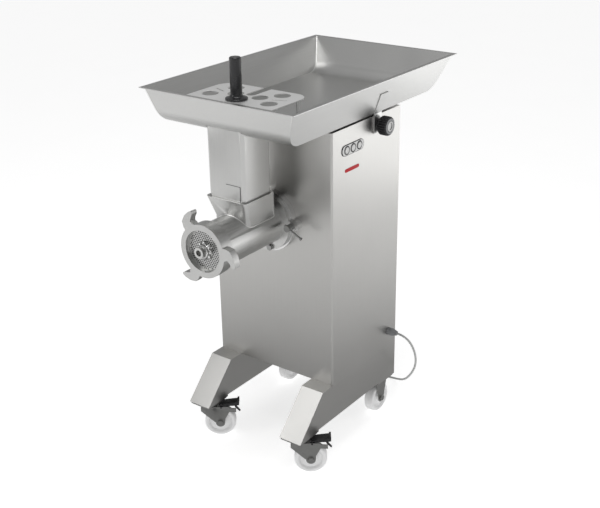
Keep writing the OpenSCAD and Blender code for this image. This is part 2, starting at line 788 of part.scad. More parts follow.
module grinding_head() {
  top = axis_z + neck_rise;
  long = head_rear - plate_back;
  color("gainsboro") difference() {
    union() {
      facing(head_rear) rotate_extrude() polygon([
        [0, 0], [flange_r, 0], [flange_r, flange_t], [barrel_r, flange_t],
        [barrel_r, head_rear - nut_back - 1], [thread_r, head_rear - nut_back + 3],
        [thread_r, long + 8], [0, long + 8]
      ]);
      neck_form(0, top);
      clamp_ear(head_rear, flange_t, ear_r - 2);
    }
    facing(head_rear - rear_wall) cylinder(r = bore_r, h = long + 20);
    facing(head_rear + eps) cylinder(r = journal_r, h = long);
    facing(knife_back + 2) cylinder(r = chamber_r, h = long);
    facing(plate_back) cylinder(r = plate_r + run_gap, h = long);
    facing(plate_back) translate([-3, plate_r - 3, 0]) cube([6, 6, 8]);
    neck_form(neck_wall, top - 14);
    translate([0, tube_y, top - 15]) linear_extrude(height = 15 + eps)
      rounded_rect(tube_w + 2, tube_d + 2, tube_r + 1);
    for (sx = [-1, 1]) facing(head_rear + eps, axis_z + clamp_dz, sx * clamp_x)
      cylinder(r = screw_r + clear_gap, h = flange_t + 2 * eps);
    at_flange_bolts(head_rear + eps) cylinder(r = 5, h = flange_t + 2 * eps);
  }
}

// Hole centres on a staggered grid, between the hub and the land at the rim.
function plate_grid() =
  let (n = ceil(plate_r / plate_pitch), row = plate_pitch * sqrt(3) / 2)
  [for (j = [-n - 2:n + 2]) for (i = [-n:n])
    let (x = (i + (j % 2 == 0 ? 0 : 0.5)) * plate_pitch, y = j * row, d = norm([x, y]))
    if (d < nut_opening / 2 - plate_hole_d && d > stud_r + 7) [x, y]];

module hole_plate() {
  color("silver") facing(plate_back) linear_extrude(height = plate_t) difference() {
    circle(r = plate_r);
    circle(r = stud_r + run_gap);
    for (q = plate_grid()) translate(q) circle(d = plate_hole_d);
    translate([0, plate_r]) square([6.2, 8], center = true);
  }
}

module plate_key() {
  color("silver") facing(plate_back) translate([-3, plate_r - 3.9, 0]) cube([6, 6.9, 8]);
}

module flange_bolts() {
  color("gray") at_flange_bolts(front_y) {
    cylinder(r = 5, h = collar_l + flange_t);
    translate([0, 0, collar_l + flange_t]) cylinder(r = 9.5, h = 9, $fn = 6);
  }
}

// Flight of the auger: a thick ribbon wound round the core, as rings of four points.
module flight(from_z, to_z, inner_r, outer_r, t) {
  per_turn = 24;
  n = floor((to_z - from_z - 2 * t) / auger_pitch * per_turn);
  pts = [for (i = [0:n]) let (a = i * 360 / per_turn, z = from_z + t + i * auger_pitch / per_turn)
    for (q = [[inner_r, -t / 2], [outer_r, -t / 3], [outer_r, t / 3], [inner_r, t / 2]])
      [q[0] * cos(a), q[0] * sin(a), z + q[1]]];
  walls = [for (i = [0:n - 1]) for (k = [0:3]) let (a = 4 * i + k, b = 4 * i + (k + 1) % 4)
    each [[a, b, b + 4], [a, b + 4, a + 4]]];
  last = [4 * n, 4 * n + 1, 4 * n + 2, 4 * n + 3];
  polyhedron(points = pts, faces = concat([[3, 2, 1, 0]], walls, [last]));
}

auger_back = head_rear + 4;
core_r = 27;

module auger() {
  core_l = head_rear - rear_wall - clear_gap - knife_back - 1;
  stud_back = knife_front - 0.3 * clear_gap;
  color("lightgray") {
    difference() {
      union() {
        facing(knife_back + core_l + 1) cylinder(r = core_r, h = core_l);
        facing(auger_back) cylinder(r = journal_r - run_gap, h = auger_back - knife_back - core_l - 1);
        facing(auger_back + 32) translate([-14, -14, 0]) cube([28, 28, 40]);
        facing(knife_back + 1) translate([-square_w / 2, -square_w / 2, 0])
          cube([square_w, square_w, knife_t + 1 + 0.7 * clear_gap]);
        facing(stud_back) cylinder(r = stud_r, h = stud_back + stud_ahead);
      }
      facing(-stud_ahead + 22) cylinder(r = stud_r - 7, h = 30);
    }
    facing(knife_back + core_l + 1) flight(2, core_l - 2, core_r - 1.5, bore_r - 2, 9);
  }
}

module knife() {
  color("gray") facing(knife_back) difference() {
    union() {
      cylinder(r = 24, h = knife_t);
      for (a = [0, 90]) rotate(a) translate([-chamber_r + 3, -9, 0]) cube([2 * chamber_r - 6, 18, knife_t]);
    }
    translate([-square_w / 2 - 0.1, -square_w / 2 - 0.1, -eps])
      cube([square_w + 0.2, square_w + 0.2, knife_t + 2 * eps]);
  }
}

// Hook of the ring nut: a lobe whose tip leans over a notch.
module nut_hook() {
  r0 = nut_d / 2 - 3;
  polygon([for (q = [
      [140, r0], [138, r0 + 12], [133, r0 + 27], [123, r0 + 36], [114, r0 + 40.5], [108, r0 + 41.5],
      [106.5, r0 + 38], [107.5, r0 + 30], [113, r0 + 21], [116, r0 + 14], [113, r0 + 6], [110, r0]
    ]) [q[1] * cos(q[0]), q[1] * sin(q[0])]]);
}

module ring_nut() {
  color("silver") difference() {
    union() {
      facing(nut_back) cylinder(r = nut_d / 2 - 1, h = nut_l - lug_t / 2);
      facing(nut_front + lug_t) linear_extrude(height = lug_t) {
        circle(d = nut_d);
        for (a = [0, 120, 240]) rotate(a) nut_hook();
      }
    }
    facing(nut_back + eps) cylinder(r = thread_r + clear_gap, h = nut_l - nut_lip + eps);
    facing(nut_back + eps) cylinder(d = nut_opening, h = nut_l + 2 * eps);
  }
}

// Clamp screw with its sliding bar; it presses the head's flange to the collar.
module clamp_screw(sx) {
  head_l = 22;
  color("silver") facing(front_y, axis_z + clamp_dz, sx * clamp_x) {
    cylinder(r = screw_r, h = collar_l + flange_t + 1);
    translate([0, 0, collar_l + flange_t + clear_gap]) cylinder(r = 10, h = head_l);
    translate([0, 0, collar_l + flange_t + 14]) rotate([0, 90, sx > 0 ? -bar_droop : 180 + bar_droop])
      translate([0, 0, -13]) {
        cylinder(r = 3, h = 66);
        cylinder(r = 4.5, h = 5);
        translate([0, 0, 61]) cylinder(r = 4.5, h = 5);
      }
  }
}

module right_clamp_screw() { clamp_screw(1); }
module left_clamp_screw() { clamp_screw(-1); }

// ---------------------------------------------------------------- drive

// Outer body of the gearbox between two depths.
module box_body(y0, y1) {
  facing(y1) translate([0, (box_top + box_bottom) / 2 - axis_z, 0])
    linear_extrude(height = y1 - y0) rounded_rect(2 * box_half, box_top - box_bottom, 20);
}

module gearbox_housing() {
  color("dimgray") difference() {
    box_body(box_front, cover_front);
    facing(cover_front + eps) translate([0, (box_top + box_bottom) / 2 - axis_z, 0])
      linear_extrude(height = cover_front - box_front - box_wall + eps)
        rounded_rect(2 * (box_half - box_side), box_top - box_bottom - 2 * box_side, 12);
    facing(box_front + box_wall + eps) cylinder(r = bearing_front[1], h = bearing_front[2] + eps);
    facing(box_front + box_wall + eps) cylinder(r = bearing_front[0] + 4, h = box_wall + 2 * eps);
    facing(box_front + box_wall + eps, lay_z) cylinder(r = bearing_lay[1], h = bearing_lay[2] + eps);
  }
}

module gearbox_cover() {
  color("gray") difference() {
    box_body(cover_front, cover_back);
    facing(cover_front + bearing_rear[2] - 2) cylinder(r = bearing_rear[1], h = bearing_rear[2]);
    facing(cover_front + bearing_lay[2] - 2, lay_z) cylinder(r = bearing_lay[1], h = bearing_lay[2]);
    facing(cover_back + eps, motor_z) cylinder(r = pinion_r + gear_m + 2, h = cover_t + 2 * eps);
  }
}

module bearing(size) {
  ring(size[1], size[0] + run_gap, size[2]);
}

module drive_bearings() {
  color("lightsteelblue") {
    facing(box_front + box_wall) bearing(bearing_front);
    facing(cover_front + bearing_rear[2] - 2) bearing(bearing_rear - [0, 0, 2]);
    facing(box_front + box_wall, lay_z) bearing(bearing_lay);
    facing(cover_front + bearing_lay[2] - 2, lay_z) bearing(bearing_lay - [0, 0, 2]);
  }
}

module shaft_seal() {
  color("black") facing(front_y - 3) ring(seal_bore_r, bearing_front[0] + run_gap, seal_w);
}

module output_shaft() {
  front = front_y - 14;
  big = box_front + box_wall;
  color("silver") difference() {
    union() {
      facing(big) cylinder(r = bearing_front[0], h = big - front);
      facing(output_face[0]) cylinder(r = bearing_rear[0] + 5, h = output_face[0] - big);
      facing(cover_back - 3) cylinder(r = bearing_rear[0], h = cover_back - 3 - output_face[0]);
    }
    facing(auger_back + 33) translate([-14.1, -14.1, 0]) cube([28.2, 28.2, 60]);
  }
}

module output_gear() {
  h = output_face[1] - output_face[0];
  color("gray") facing(output_face[1]) difference() {
    gear(output_teeth, gear_m, h);
    translate([0, 0, -eps]) cylinder(r = bearing_rear[0], h = h + 2 * eps);
    for (a = [0:60:300]) rotate(a) translate([output_r * 0.62, 0, -eps]) cylinder(r = 11, h = h + 2 * eps);
  }
}

module layshaft() {
  color("gray") {
    facing(cover_front + bearing_lay[2] - 2.5, lay_z)
      cylinder(r = bearing_lay[0], h = cover_front - box_front - box_wall + 2 * bearing_lay[2] - 4);
    facing(output_face[1] + 2, lay_z) gear(pinion_teeth, gear_m, output_face[1] - output_face[0] + 4, 9);
    facing(lay_face[1], lay_z) gear(lay_teeth, gear_m, lay_face[1] - lay_face[0]);
  }
}

module motor_housing() {
  r = motor_d / 2;
  fins = 20;
  color("steelblue") facing(motor_back, motor_z) difference() {
    union() {
      cylinder(r = r - 8, h = motor_l);
      translate([0, 0, motor_l - 12]) cylinder(r = r, h = 12);
      cylinder(r = r, h = 12);
      for (i = [0:fins - 1]) rotate(i * 360 / fins)
        translate([r - 12, -1.5, 6]) cube([11, 3, motor_l - 12]);
    }
    translate([0, 0, 12]) cylinder(r = r - 16, h = 16);
    translate([0, 0, 28 - eps]) cylinder(r = 46, h = motor_l - 56 + 2 * eps);
    translate([0, 0, motor_l - 28]) cylinder(r = r - 16, h = 16);
    translate([0, 0, -eps]) cylinder(r = motor_shaft_r + run_gap, h = motor_l + 2 * eps);
  }
}

module fan_cover() {
  r = motor_d / 2;
  color("dimgray") facing(motor_back + 45, motor_z) difference() {
    cylinder(r = r, h = 45);
    translate([0, 0, 2]) cylinder(r = r - 2, h = 45);
    for (a = [0:30:330]) rotate(a) translate([25, -3, -eps]) cube([r - 38, 6, 4]);
  }
}

module motor_rotor() {
  color("silver") {
    facing(motor_back + 30, motor_z) cylinder(r = motor_shaft_r, h = motor_back + 30 - lay_face[0]);
    facing(motor_back - 32, motor_z) cylinder(r = 45.5, h = motor_l - 64);
    facing(lay_face[1], motor_z) gear(pinion_teeth, gear_m, lay_face[1] - lay_face[0]);
  }
}

module motor_fan() {
  r = motor_d / 2 - 14;
  color("black") facing(motor_back + 28, motor_z) difference() {
    union() {
      cylinder(r = 20, h = 22);
      translate([0, 0, 19]) cylinder(r = r, h = 3);
      for (a = [0:45:315]) rotate(a) translate([10, -1.5, 0]) cube([r - 11, 3, 20]);
    }
    translate([0, 0, -eps]) cylinder(r = motor_shaft_r, h = 22 + 2 * eps);
  }
}

// ---------------------------------------------------------------- controls

module control_box() {
  low = [-inner_x, front_y + 90, axis_z + 120];
  high = [-inner_x + 72, front_y + 250, axis_z + 270];
  color("dimgray") difference() {
    span(low, high);
    span(low + [3, 3, 3], high - [3, 3, 3]);
    for (i = [0:2]) translate([high[0] - 20, low[1] + 40 + 40 * i, low[2] - eps]) cylinder(r = 8, h = 5);
  }
}

module button_plate() {
  color("whitesmoke") on_side(side_x, panel_y, panel_z) linear_extrude(height = 2) difference() {
    rounded_rect(button_plate_h, button_plate_l, button_plate_h / 2 - 0.1);
    for (i = [-1:1]) translate([0, i * button_pitch]) circle(d = button_d + 1);
  }
}

module push_button(i) {
  on_side(side_x - 8, panel_y + i * button_pitch, panel_z) {
    cylinder(d = button_d, h = 12);
    cylinder(d = button_d + 4, h = 2);
  }
}

module start_button() { color("white") push_button(-1); }
module stop_button() { color("silver") push_button(0); }
module reverse_button() { color("white") push_button(1); }

module switch_blocks() {
  back = side_x - 8 - button_travel - 0.5;
  color("dimgray") for (i = [-1:1])
    span([back - 34, panel_y + i * button_pitch - 11, panel_z - 20],
         [back, panel_y + i * button_pitch + 11, panel_z + 20]);
}

module knob_stud() {
  color("silver") {
    on_side(inner_x - 6, knob_y, knob_z) cylinder(r = 11, h = 6, $fn = 6);
    on_side(inner_x, knob_y, knob_z) cylinder(r = knob_stud_r, h = sheet + 26);
  }
}

module lock_knob() {
  flutes = 24;
  color("black") on_side(knob_x, knob_y, knob_z) difference() {
    union() {
      cylinder(d = knob_d * 0.62, h = 9);
      translate([0, 0, 7]) rotate_extrude() polygon([
        [0, 0], [knob_d / 2 - 4, 0], [knob_d / 2, 4],
        [knob_d / 2, knob_l - 11], [knob_d / 2 - 4, knob_l - 7], [0, knob_l - 7]
      ]);
    }
    translate([0, 0, -eps]) cylinder(r = knob_stud_r + run_gap, h = 26);
    translate([0, 0, knob_l - 4]) cylinder(r = knob_d * 0.27, h = 6);
    for (i = [0:flutes - 1]) rotate(i * 360 / flutes)
      translate([knob_d / 2 + 0.8, 0, 9]) cylinder(r = 2.4, h = knob_l - 14);
  }
}

module knob_insert() {
  color("lightgray") on_side(knob_x + knob_l - 4, knob_y, knob_z) {
    difference() {
      cylinder(r = knob_d * 0.27, h = 5);
      translate([0, 0, 3]) cylinder(r = knob_d * 0.18, h = 5);
    }
  }
}

module cable_gland() {
  color("dimgray") {
    on_side(side_x, gland_y, gland_z) {
      cylinder(r = 14, h = 6, $fn = 6);
      translate([0, 0, 6]) rotate_extrude() polygon([
        [0, 0], [12.5, 0], [12.5, 11], [11, 14], [cord_r + 3.5, gland_l - 6], [0, gland_l - 6]
      ]);
    }
    on_side(inner_x - 6, gland_y, gland_z) cylinder(r = 13, h = 6, $fn = 6);
    on_side(inner_x, gland_y, gland_z) cylinder(r = 8, h = sheet);
  }
}

// ---------------------------------------------------------------- cord

// Smooth curve through the route's points: four-point blend at share u of one stretch.
function blend4(a, b, c, d, u) =
  0.5 * (2 * b + (c - a) * u + (2 * a - 5 * b + 4 * c - d) * u * u + (3 * b - a - 3 * c + d) * u * u * u);

function swept(route, parts) =
  let (n = len(route) - 1)
  concat([for (i = [0:n - 1]) for (k = [0:parts - 1])
      blend4(route[max(i - 1, 0)], route[i], route[i + 1], route[min(i + 2, n)], k / parts)], [route[n]]);

// Ring of points square to the path at point i.
function cord_ring(path, i, r, sides) =
  let (
    n = len(path) - 1,
    run = path[min(i + 1, n)] - path[max(i - 1, 0)],
    t = run / norm(run),
    across = cross([0.2, 0.3, 1], t),
    u = across / norm(across),
    v = cross(t, u)
  )
  [for (k = [0:sides - 1]) path[i] + r * (cos(k * 360 / sides) * u + sin(k * 360 / sides) * v)];

module cord_tube(path, r, sides) {
  n = len(path) - 1;
  pts = [for (i = [0:n]) each cord_ring(path, i, r, sides)];
  walls = [for (i = [0:n - 1]) for (k = [0:sides - 1])
    let (a = i * sides + k, b = i * sides + (k + 1) % sides)
      each [[a, b + sides, b], [a, a + sides, b + sides]]];
  polyhedron(points = pts, faces = concat([[for (k = [0:sides - 1]) k]], walls,
    [[for (k = [sides - 1:-1:0]) n * sides + k]]));
}

module mains_cord() {
  color("gray") cord_tube(swept(cord_route, 2), cord_r, 8);
}

module cord_coil() {
  color("gray") translate([coil_at[0], coil_at[1], 0]) rotate_extrude()
    translate([coil_mean_r - coil_w / 2, 0]) square([coil_w, coil_h]);
}

module mains_plug() {
  grip_r = 17;
  color("dimgray") translate([plug_at[0], plug_at[1], grip_r]) rotate([-90, 0, 0]) {
    rotate_extrude() polygon([[0, 0], [6, 0], [8, 14], [grip_r, 24], [grip_r, 48], [0, 48]]);
    for (s = [-1, 1]) translate([s * 9.5, 0, 48]) cylinder(r = 2.4, h = 19);
  }
}

// ---------------------------------------------------------------- assembly

base_plate();
cabinet_shell();
top_plate();
rear_cover();
rear_screws();
tray_seats();
left_leg();
right_leg();
castor_plates();
castor_bolts();
rear_forks();
rear_axles();
mounting_collar();
grinding_head();
hole_plate();
plate_key();
flange_bolts();
gearbox_housing();
gearbox_cover();
drive_bearings();
shaft_seal();
motor_housing();
fan_cover();
control_box();
button_plate();
switch_blocks();
knob_stud();
cable_gland();
mains_cord();
cord_coil();
mains_plug();
tray_pan();
feed_tube();
finger_guard();
lock_tab();
pusher();
lock_knob();
knob_insert();
auger();
knife();
output_shaft();
output_gear();
ring_nut();
layshaft();
motor_rotor();
motor_fan();
right_clamp_screw();
left_clamp_screw();
start_button();
stop_button();
reverse_button();
left_fork();
left_wheel();
left_brake();
right_fork();
right_wheel();
right_brake();
rear_left_wheel();
rear_right_wheel();
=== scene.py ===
import json
import math
import bmesh
import bpy
import numpy as np
from mathutils import Matrix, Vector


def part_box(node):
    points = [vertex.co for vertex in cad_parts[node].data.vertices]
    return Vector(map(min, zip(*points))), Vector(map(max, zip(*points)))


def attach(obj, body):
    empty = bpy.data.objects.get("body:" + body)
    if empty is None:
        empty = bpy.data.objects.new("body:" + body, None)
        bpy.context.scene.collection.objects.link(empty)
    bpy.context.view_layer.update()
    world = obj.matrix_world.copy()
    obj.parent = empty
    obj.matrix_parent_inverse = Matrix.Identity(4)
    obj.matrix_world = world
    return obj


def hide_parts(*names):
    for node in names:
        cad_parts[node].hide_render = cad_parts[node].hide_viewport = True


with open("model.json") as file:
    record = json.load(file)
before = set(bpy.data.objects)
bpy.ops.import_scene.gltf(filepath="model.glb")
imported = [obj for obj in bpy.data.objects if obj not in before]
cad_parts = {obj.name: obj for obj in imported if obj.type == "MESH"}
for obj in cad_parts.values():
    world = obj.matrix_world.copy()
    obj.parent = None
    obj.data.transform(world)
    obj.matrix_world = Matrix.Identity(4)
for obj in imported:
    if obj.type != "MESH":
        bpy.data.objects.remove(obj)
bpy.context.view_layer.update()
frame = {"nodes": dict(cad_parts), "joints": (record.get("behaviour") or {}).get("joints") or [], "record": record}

bl_info = {
    "name": "Electric Meat Grinder",
    "version": (1, 0, 0),
    "blender": (4, 5, 0),
    "location": "3D View > Sidebar > Meat Grinder",
    "description": "Builds the looks of a floor-standing electric meat grinder round its fixed frame",
    "category": "Object",
}

NODES = frame["nodes"]
BODY_OF = {node: body for body, names in frame["record"]["behaviour"]["bodies"].items() for node in names}
MM = 0.001


# ---------------------------------------------------------------- properties

class GrinderSizes(bpy.types.PropertyGroup):
    """Sizes that a user would change."""

    sheet: bpy.props.FloatProperty(
        name="Sheet", description="Thickness of the tray's sheet", default=0.002, unit="LENGTH")
    tray_bend: bpy.props.FloatProperty(
        name="Tray bend", description="Radius between the tray's end walls and its floor",
        default=0.060, unit="LENGTH")
    weld: bpy.props.FloatProperty(
        name="Weld", description="Radius of a weld bead", default=0.0022, unit="LENGTH")
    edge: bpy.props.FloatProperty(
        name="Edge", description="Width of a broken edge on machined parts", default=0.0009, unit="LENGTH")
    cord_diameter: bpy.props.FloatProperty(
        name="Cord", description="Diameter of the mains cord", default=0.007, unit="LENGTH")
    coil_turns: bpy.props.IntProperty(
        name="Coil turns", description="Turns in the stored coil of cord", default=5)


class GrinderColours(bpy.types.PropertyGroup):
    """Colours that a user would change."""

    steel: bpy.props.FloatVectorProperty(
        name="Sheet steel", description="Brushed stainless sheet", subtype="COLOR",
        default=(0.56, 0.555, 0.54))
    tray_steel: bpy.props.FloatVectorProperty(
        name="Tray steel", description="Satin stainless sheet of the tray", subtype="COLOR",
        default=(0.62, 0.62, 0.61))
    head_steel: bpy.props.FloatVectorProperty(
        name="Head steel", description="Blasted stainless of the mincing head", subtype="COLOR",
        default=(0.6, 0.6, 0.59))
    zinc: bpy.props.FloatVectorProperty(
        name="Zinc", description="Zinc plated steel of the castors", subtype="COLOR",
        default=(0.42, 0.42, 0.41))
    nylon: bpy.props.FloatVectorProperty(
        name="Nylon", description="White nylon of the wheels", subtype="COLOR",
        default=(0.9, 0.9, 0.9))
    black: bpy.props.FloatVectorProperty(
        name="Black", description="Black moulded plastic", subtype="COLOR",
        default=(0.018, 0.018, 0.02))
    cord: bpy.props.FloatVectorProperty(
        name="Cord", description="Grey jacket of the cord", subtype="COLOR",
        default=(0.46, 0.465, 0.46))
    badge: bpy.props.FloatVectorProperty(
        name="Badge", description="Plain colour bar below the buttons", subtype="COLOR",
        default=(0.5, 0.004, 0.012))


def sizes():
    return bpy.context.scene.grinder_sizes


def colours():
    return bpy.context.scene.grinder_colours


# ---------------------------------------------------------------- mesh helpers

def box(node):
    low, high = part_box(node)
    return np.array(low), np.array(high)


def placed(name, data):
    """A new object in the scene that carries data."""
    piece = bpy.data.objects.new(name, data)
    bpy.context.scene.collection.objects.link(piece)
    return piece


def smoothed(mesh, angle):
    """Smooth shading, with edges sharper than angle degrees left sharp."""
    mesh.polygons.foreach_set("use_smooth", np.ones(len(mesh.polygons), bool))
    mesh.set_sharp_from_angle(angle=math.radians(angle))


def mesh_piece(name, points, faces, smooth_angle=40):
    """A mesh object from an array of points and a list or array of faces. Shared points are merged
    and edges sharper than smooth_angle degrees are marked sharp."""
    mesh = bpy.data.meshes.new(name)
    mesh.from_pydata(np.asarray(points, float).tolist(), [], np.asarray(faces).tolist()
                     if isinstance(faces, np.ndarray) else faces)
    work = bmesh.new()
    work.from_mesh(mesh)
    bmesh.ops.remove_doubles(work, verts=work.verts, dist=1e-6)
    bmesh.ops.dissolve_degenerate(work, edges=work.edges, dist=1e-7)
    bmesh.ops.recalc_face_normals(work, faces=work.faces)
    work.to_mesh(mesh)
    work.free()
    smoothed(mesh, smooth_angle)
    return placed(name, mesh)


def grid_faces(rows, columns, wrap_rows=False, wrap_columns=False):
    """Quads of a grid of rows by columns points; either way may close on itself."""
    r = np.arange(rows if wrap_rows else rows - 1)[:, None]
    c = np.arange(columns if wrap_columns else columns - 1)[None, :]
    r2, c2 = (r + 1) % rows, (c + 1) % columns
    quads = np.stack([r * columns + c, r * columns + c2, r2 * columns + c2, r2 * columns + c], -1)
    return quads.reshape(-1, 4)


def basis(axis):
    """Two unit vectors square to axis and to each other."""
    axis = np.asarray(axis, float) / np.linalg.norm(axis)
    helper = np.array([0, 0, 1.0]) if abs(axis[2]) < 0.9 else np.array([1.0, 0, 0])
    u = np.cross(helper, axis)
    u /= np.linalg.norm(u)
    return axis, u, np.cross(axis, u)


def turned(name, profile, origin, axis, steps=64, flute=0.0, flutes=0, smooth_angle=35):
    """Turned piece. A profile of (radius, distance) pairs goes once round the axis:
    point(a, i) = origin + axis * d_i + r_i * (u cos a + v sin a). With flutes, the radius of each
    point loses flute * (1 - cos(flutes * a)) / 2 where the profile's third number says so."""
    axis, u, v = basis(axis)
    p = np.array([list(q) + [0] * (3 - len(q)) for q in profile], float)
    a = np.arange(steps) * 2 * np.pi / steps
    r = p[:, 0:1] - p[:, 2:3] * flute * (1 - np.cos(flutes * a))[None, :] / 2
    around = np.cos(a)[:, None] * u + np.sin(a)[:, None] * v
    points = np.asarray(origin) + p[:, 1, None, None] * axis + r[:, :, None] * around[None]
    faces = grid_faces(len(p), steps, wrap_columns=True)
    return mesh_piece(name, points.reshape(-1, 3), faces, smooth_angle)


def rounded(corners, radius, steps=5):
    """A profile's corners rounded: each inner corner becomes a quadratic blend from radius before
    it to radius after it, (1-t)^2 a + 2t(1-t) corner + t^2 b."""
    pts = np.array(corners, float)
    out = [pts[0]]
    t = np.linspace(0, 1, steps)[:, None]
    for before, corner, after in zip(pts[:-2], pts[1:-1], pts[2:]):
        back, on = before - corner, after - corner
        cut = min(radius, np.linalg.norm(back) * 0.45, np.linalg.norm(on) * 0.45)
        a = corner + back / np.linalg.norm(back) * cut
        b = corner + on / np.linalg.norm(on) * cut
        out.extend((1 - t) ** 2 * a + 2 * t * (1 - t) * corner + t ** 2 * b)
    out.append(pts[-1])
    return np.array(out)


def frames_along(path, closed=False):
    """Unit tangents and two square directions along a path, carried without twist."""
    path = np.asarray(path, float)
    if closed:
        run = np.roll(path, -1, 0) - np.roll(path, 1, 0)
    else:
        run = np.gradient(path, axis=0)
    t = run / np.linalg.norm(run, axis=1)[:, None]
    up = np.array([0.13, 0.21, 1.0])
    u = np.cross(up, t)
    u /= np.linalg.norm(u, axis=1)[:, None]
    return t, u, np.cross(t, u)


def swept(name, path, radius, sides=10, closed=False, ripple=0.0, pitch=1.0):
    """Tube along a path: ring(i, a) = path_i + r_i (u_i cos a + v_i sin a). The radius swells by
    ripple * |sin| of the length run, once each pitch, as the scales of a weld do."""
    path = np.asarray(path, float)
    _, u, v = frames_along(path, closed)
    step = np.linalg.norm(np.diff(path, axis=0), axis=1)
    length = np.concatenate([[0], np.cumsum(step)])
    r = radius * (1 + ripple * np.abs(np.sin(np.pi * length / pitch)))
    a = np.arange(sides) * 2 * np.pi / sides
    rings = path[:, None] + r[:, None, None] * (
        np.cos(a)[None, :, None] * u[:, None] + np.sin(a)[None, :, None] * v[:, None])
    faces = grid_faces(len(path), sides, wrap_rows=closed, wrap_columns=True).tolist()
    if not closed:
        last = (len(path) - 1) * sides
        faces += [list(range(sides)), list(range(last + sides - 1, last - 1, -1))]
    return mesh_piece(name, rings.reshape(-1, 3), faces)


def evenly(path, spacing):
    """The same path with points spacing apart."""
    path = np.asarray(path, float)
    s = np.concatenate([[0], np.cumsum(np.linalg.norm(np.diff(path, axis=0), axis=1))])
    at = np.linspace(0, s[-1], max(2, int(s[-1] / spacing)))
    return np.stack([np.interp(at, s, path[:, k]) for k in range(3)], 1)


def softened(node, width, segments=2, angle=35):
    """A copy of a frame node with its flat faces joined and its sharp edges broken by a bevel."""
    source = NODES[node]
    mesh = source.data.copy()
    mesh.name = node + "_soft"
    work = bmesh.new()
    work.from_mesh(mesh)
    bmesh.ops.remove_doubles(work, verts=work.verts, dist=2e-6)
    bmesh.ops.dissolve_limit(work, angle_limit=math.radians(0.6), verts=work.verts, edges=work.edges,
                             use_dissolve_boundaries=False)
    work.to_mesh(mesh)
    work.free()
    smoothed(mesh, angle)
    piece = placed(mesh.name, mesh)
    bevel = piece.modifiers.new("broken_edges", "BEVEL")
    bevel.width = width
    bevel.segments = segments
    bevel.limit_method = "ANGLE"
    bevel.angle_limit = math.radians(angle)
    bevel.use_clamp_overlap = True
    bevel.harden_normals = True
    return piece


def dress(piece, material, body, *replaced):
    """Gives a piece its material, its body and the nodes that it stands for."""
    piece.data.materials.clear()
    piece.data.materials.append(material)
    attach(piece, body)
    if replaced:
        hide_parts(*replaced)
    return piece


def soften_nodes(names, width, material, **options):
    """Softened stand-ins for several nodes."""
    made = []
    for node in names:
        piece = softened(node, width, **options)
        dress(piece, material, BODY_OF[node], node)
        made.append(piece)
    return made


def paint_nodes(names, material):
    """Puts a material on frame nodes that keep their own shape."""
    for node in names:
        mesh = NODES[node].data
        mesh.materials.clear()
        mesh.materials.append(material)


# ---------------------------------------------------------------- materials

def node_material(name):
    material = bpy.data.materials.new(name)
    material.use_nodes = True
    tree = material.node_tree
    return material, tree, tree.nodes["Principled BSDF"]


def add(tree, kind, **values):
    """A shader node with its settings and input defaults set by name."""
    node = tree.nodes.new(kind)
    for key, value in values.items():
        if key in node.inputs:
            node.inputs[key].default_value = value
        else:
            setattr(node, key, value)
    return node


def object_pattern(tree, stretch=(1, 1, 1)):
    """Object coordinates, stretched along each axis."""
    place = add(tree, "ShaderNodeTexCoord")
    mapping = add(tree, "ShaderNodeMapping", Scale=stretch)
    tree.links.new(place.outputs["Object"], mapping.inputs["Vector"])
    return mapping.outputs["Vector"]


def noise(tree, vector, scale, detail=4.0, rough=0.55):
    texture = add(tree, "ShaderNodeTexNoise", Scale=scale, Detail=detail, Roughness=rough)
    tree.links.new(vector, texture.inputs["Vector"])
    return texture.outputs["Fac"]


def remap(tree, value, low, high, from_low=0.3, from_high=0.7):
    node = add(tree, "ShaderNodeMapRange", **{
        "From Min": from_low, "From Max": from_high, "To Min": low, "To Max": high})
    tree.links.new(value, node.inputs["Value"])
    return node.outputs["Result"]


def math_node(tree, operation, a, b):
    node = add(tree, "ShaderNodeMath", operation=operation)
    for socket, value in zip(node.inputs, (a, b)):
        if isinstance(value, (int, float)):
            socket.default_value = value
        else:
            tree.links.new(value, socket)
    return node.outputs["Value"]


def tint(tree, factor, dark, light):
    """Colour between two shades of one finish."""
    ramp = add(tree, "ShaderNodeValToRGB")
    ramp.color_ramp.elements[0].position = 0.25
    ramp.color_ramp.elements[1].position = 0.75
    ramp.color_ramp.elements[0].color = (*dark, 1)
    ramp.color_ramp.elements[1].color = (*light, 1)
    tree.links.new(factor, ramp.inputs["Fac"])
    return ramp.outputs["Color"]


def grained(tree, shader, height, strength, distance):
    """A bump on the surface along height."""
    bump = add(tree, "ShaderNodeBump", Strength=strength, Distance=distance)
    tree.links.new(height, bump.inputs["Height"])
    tree.links.new(bump.outputs["Normal"], shader.inputs["Normal"])


def shade(colour, factor):
    return tuple(min(1.0, c * factor) for c in colour)


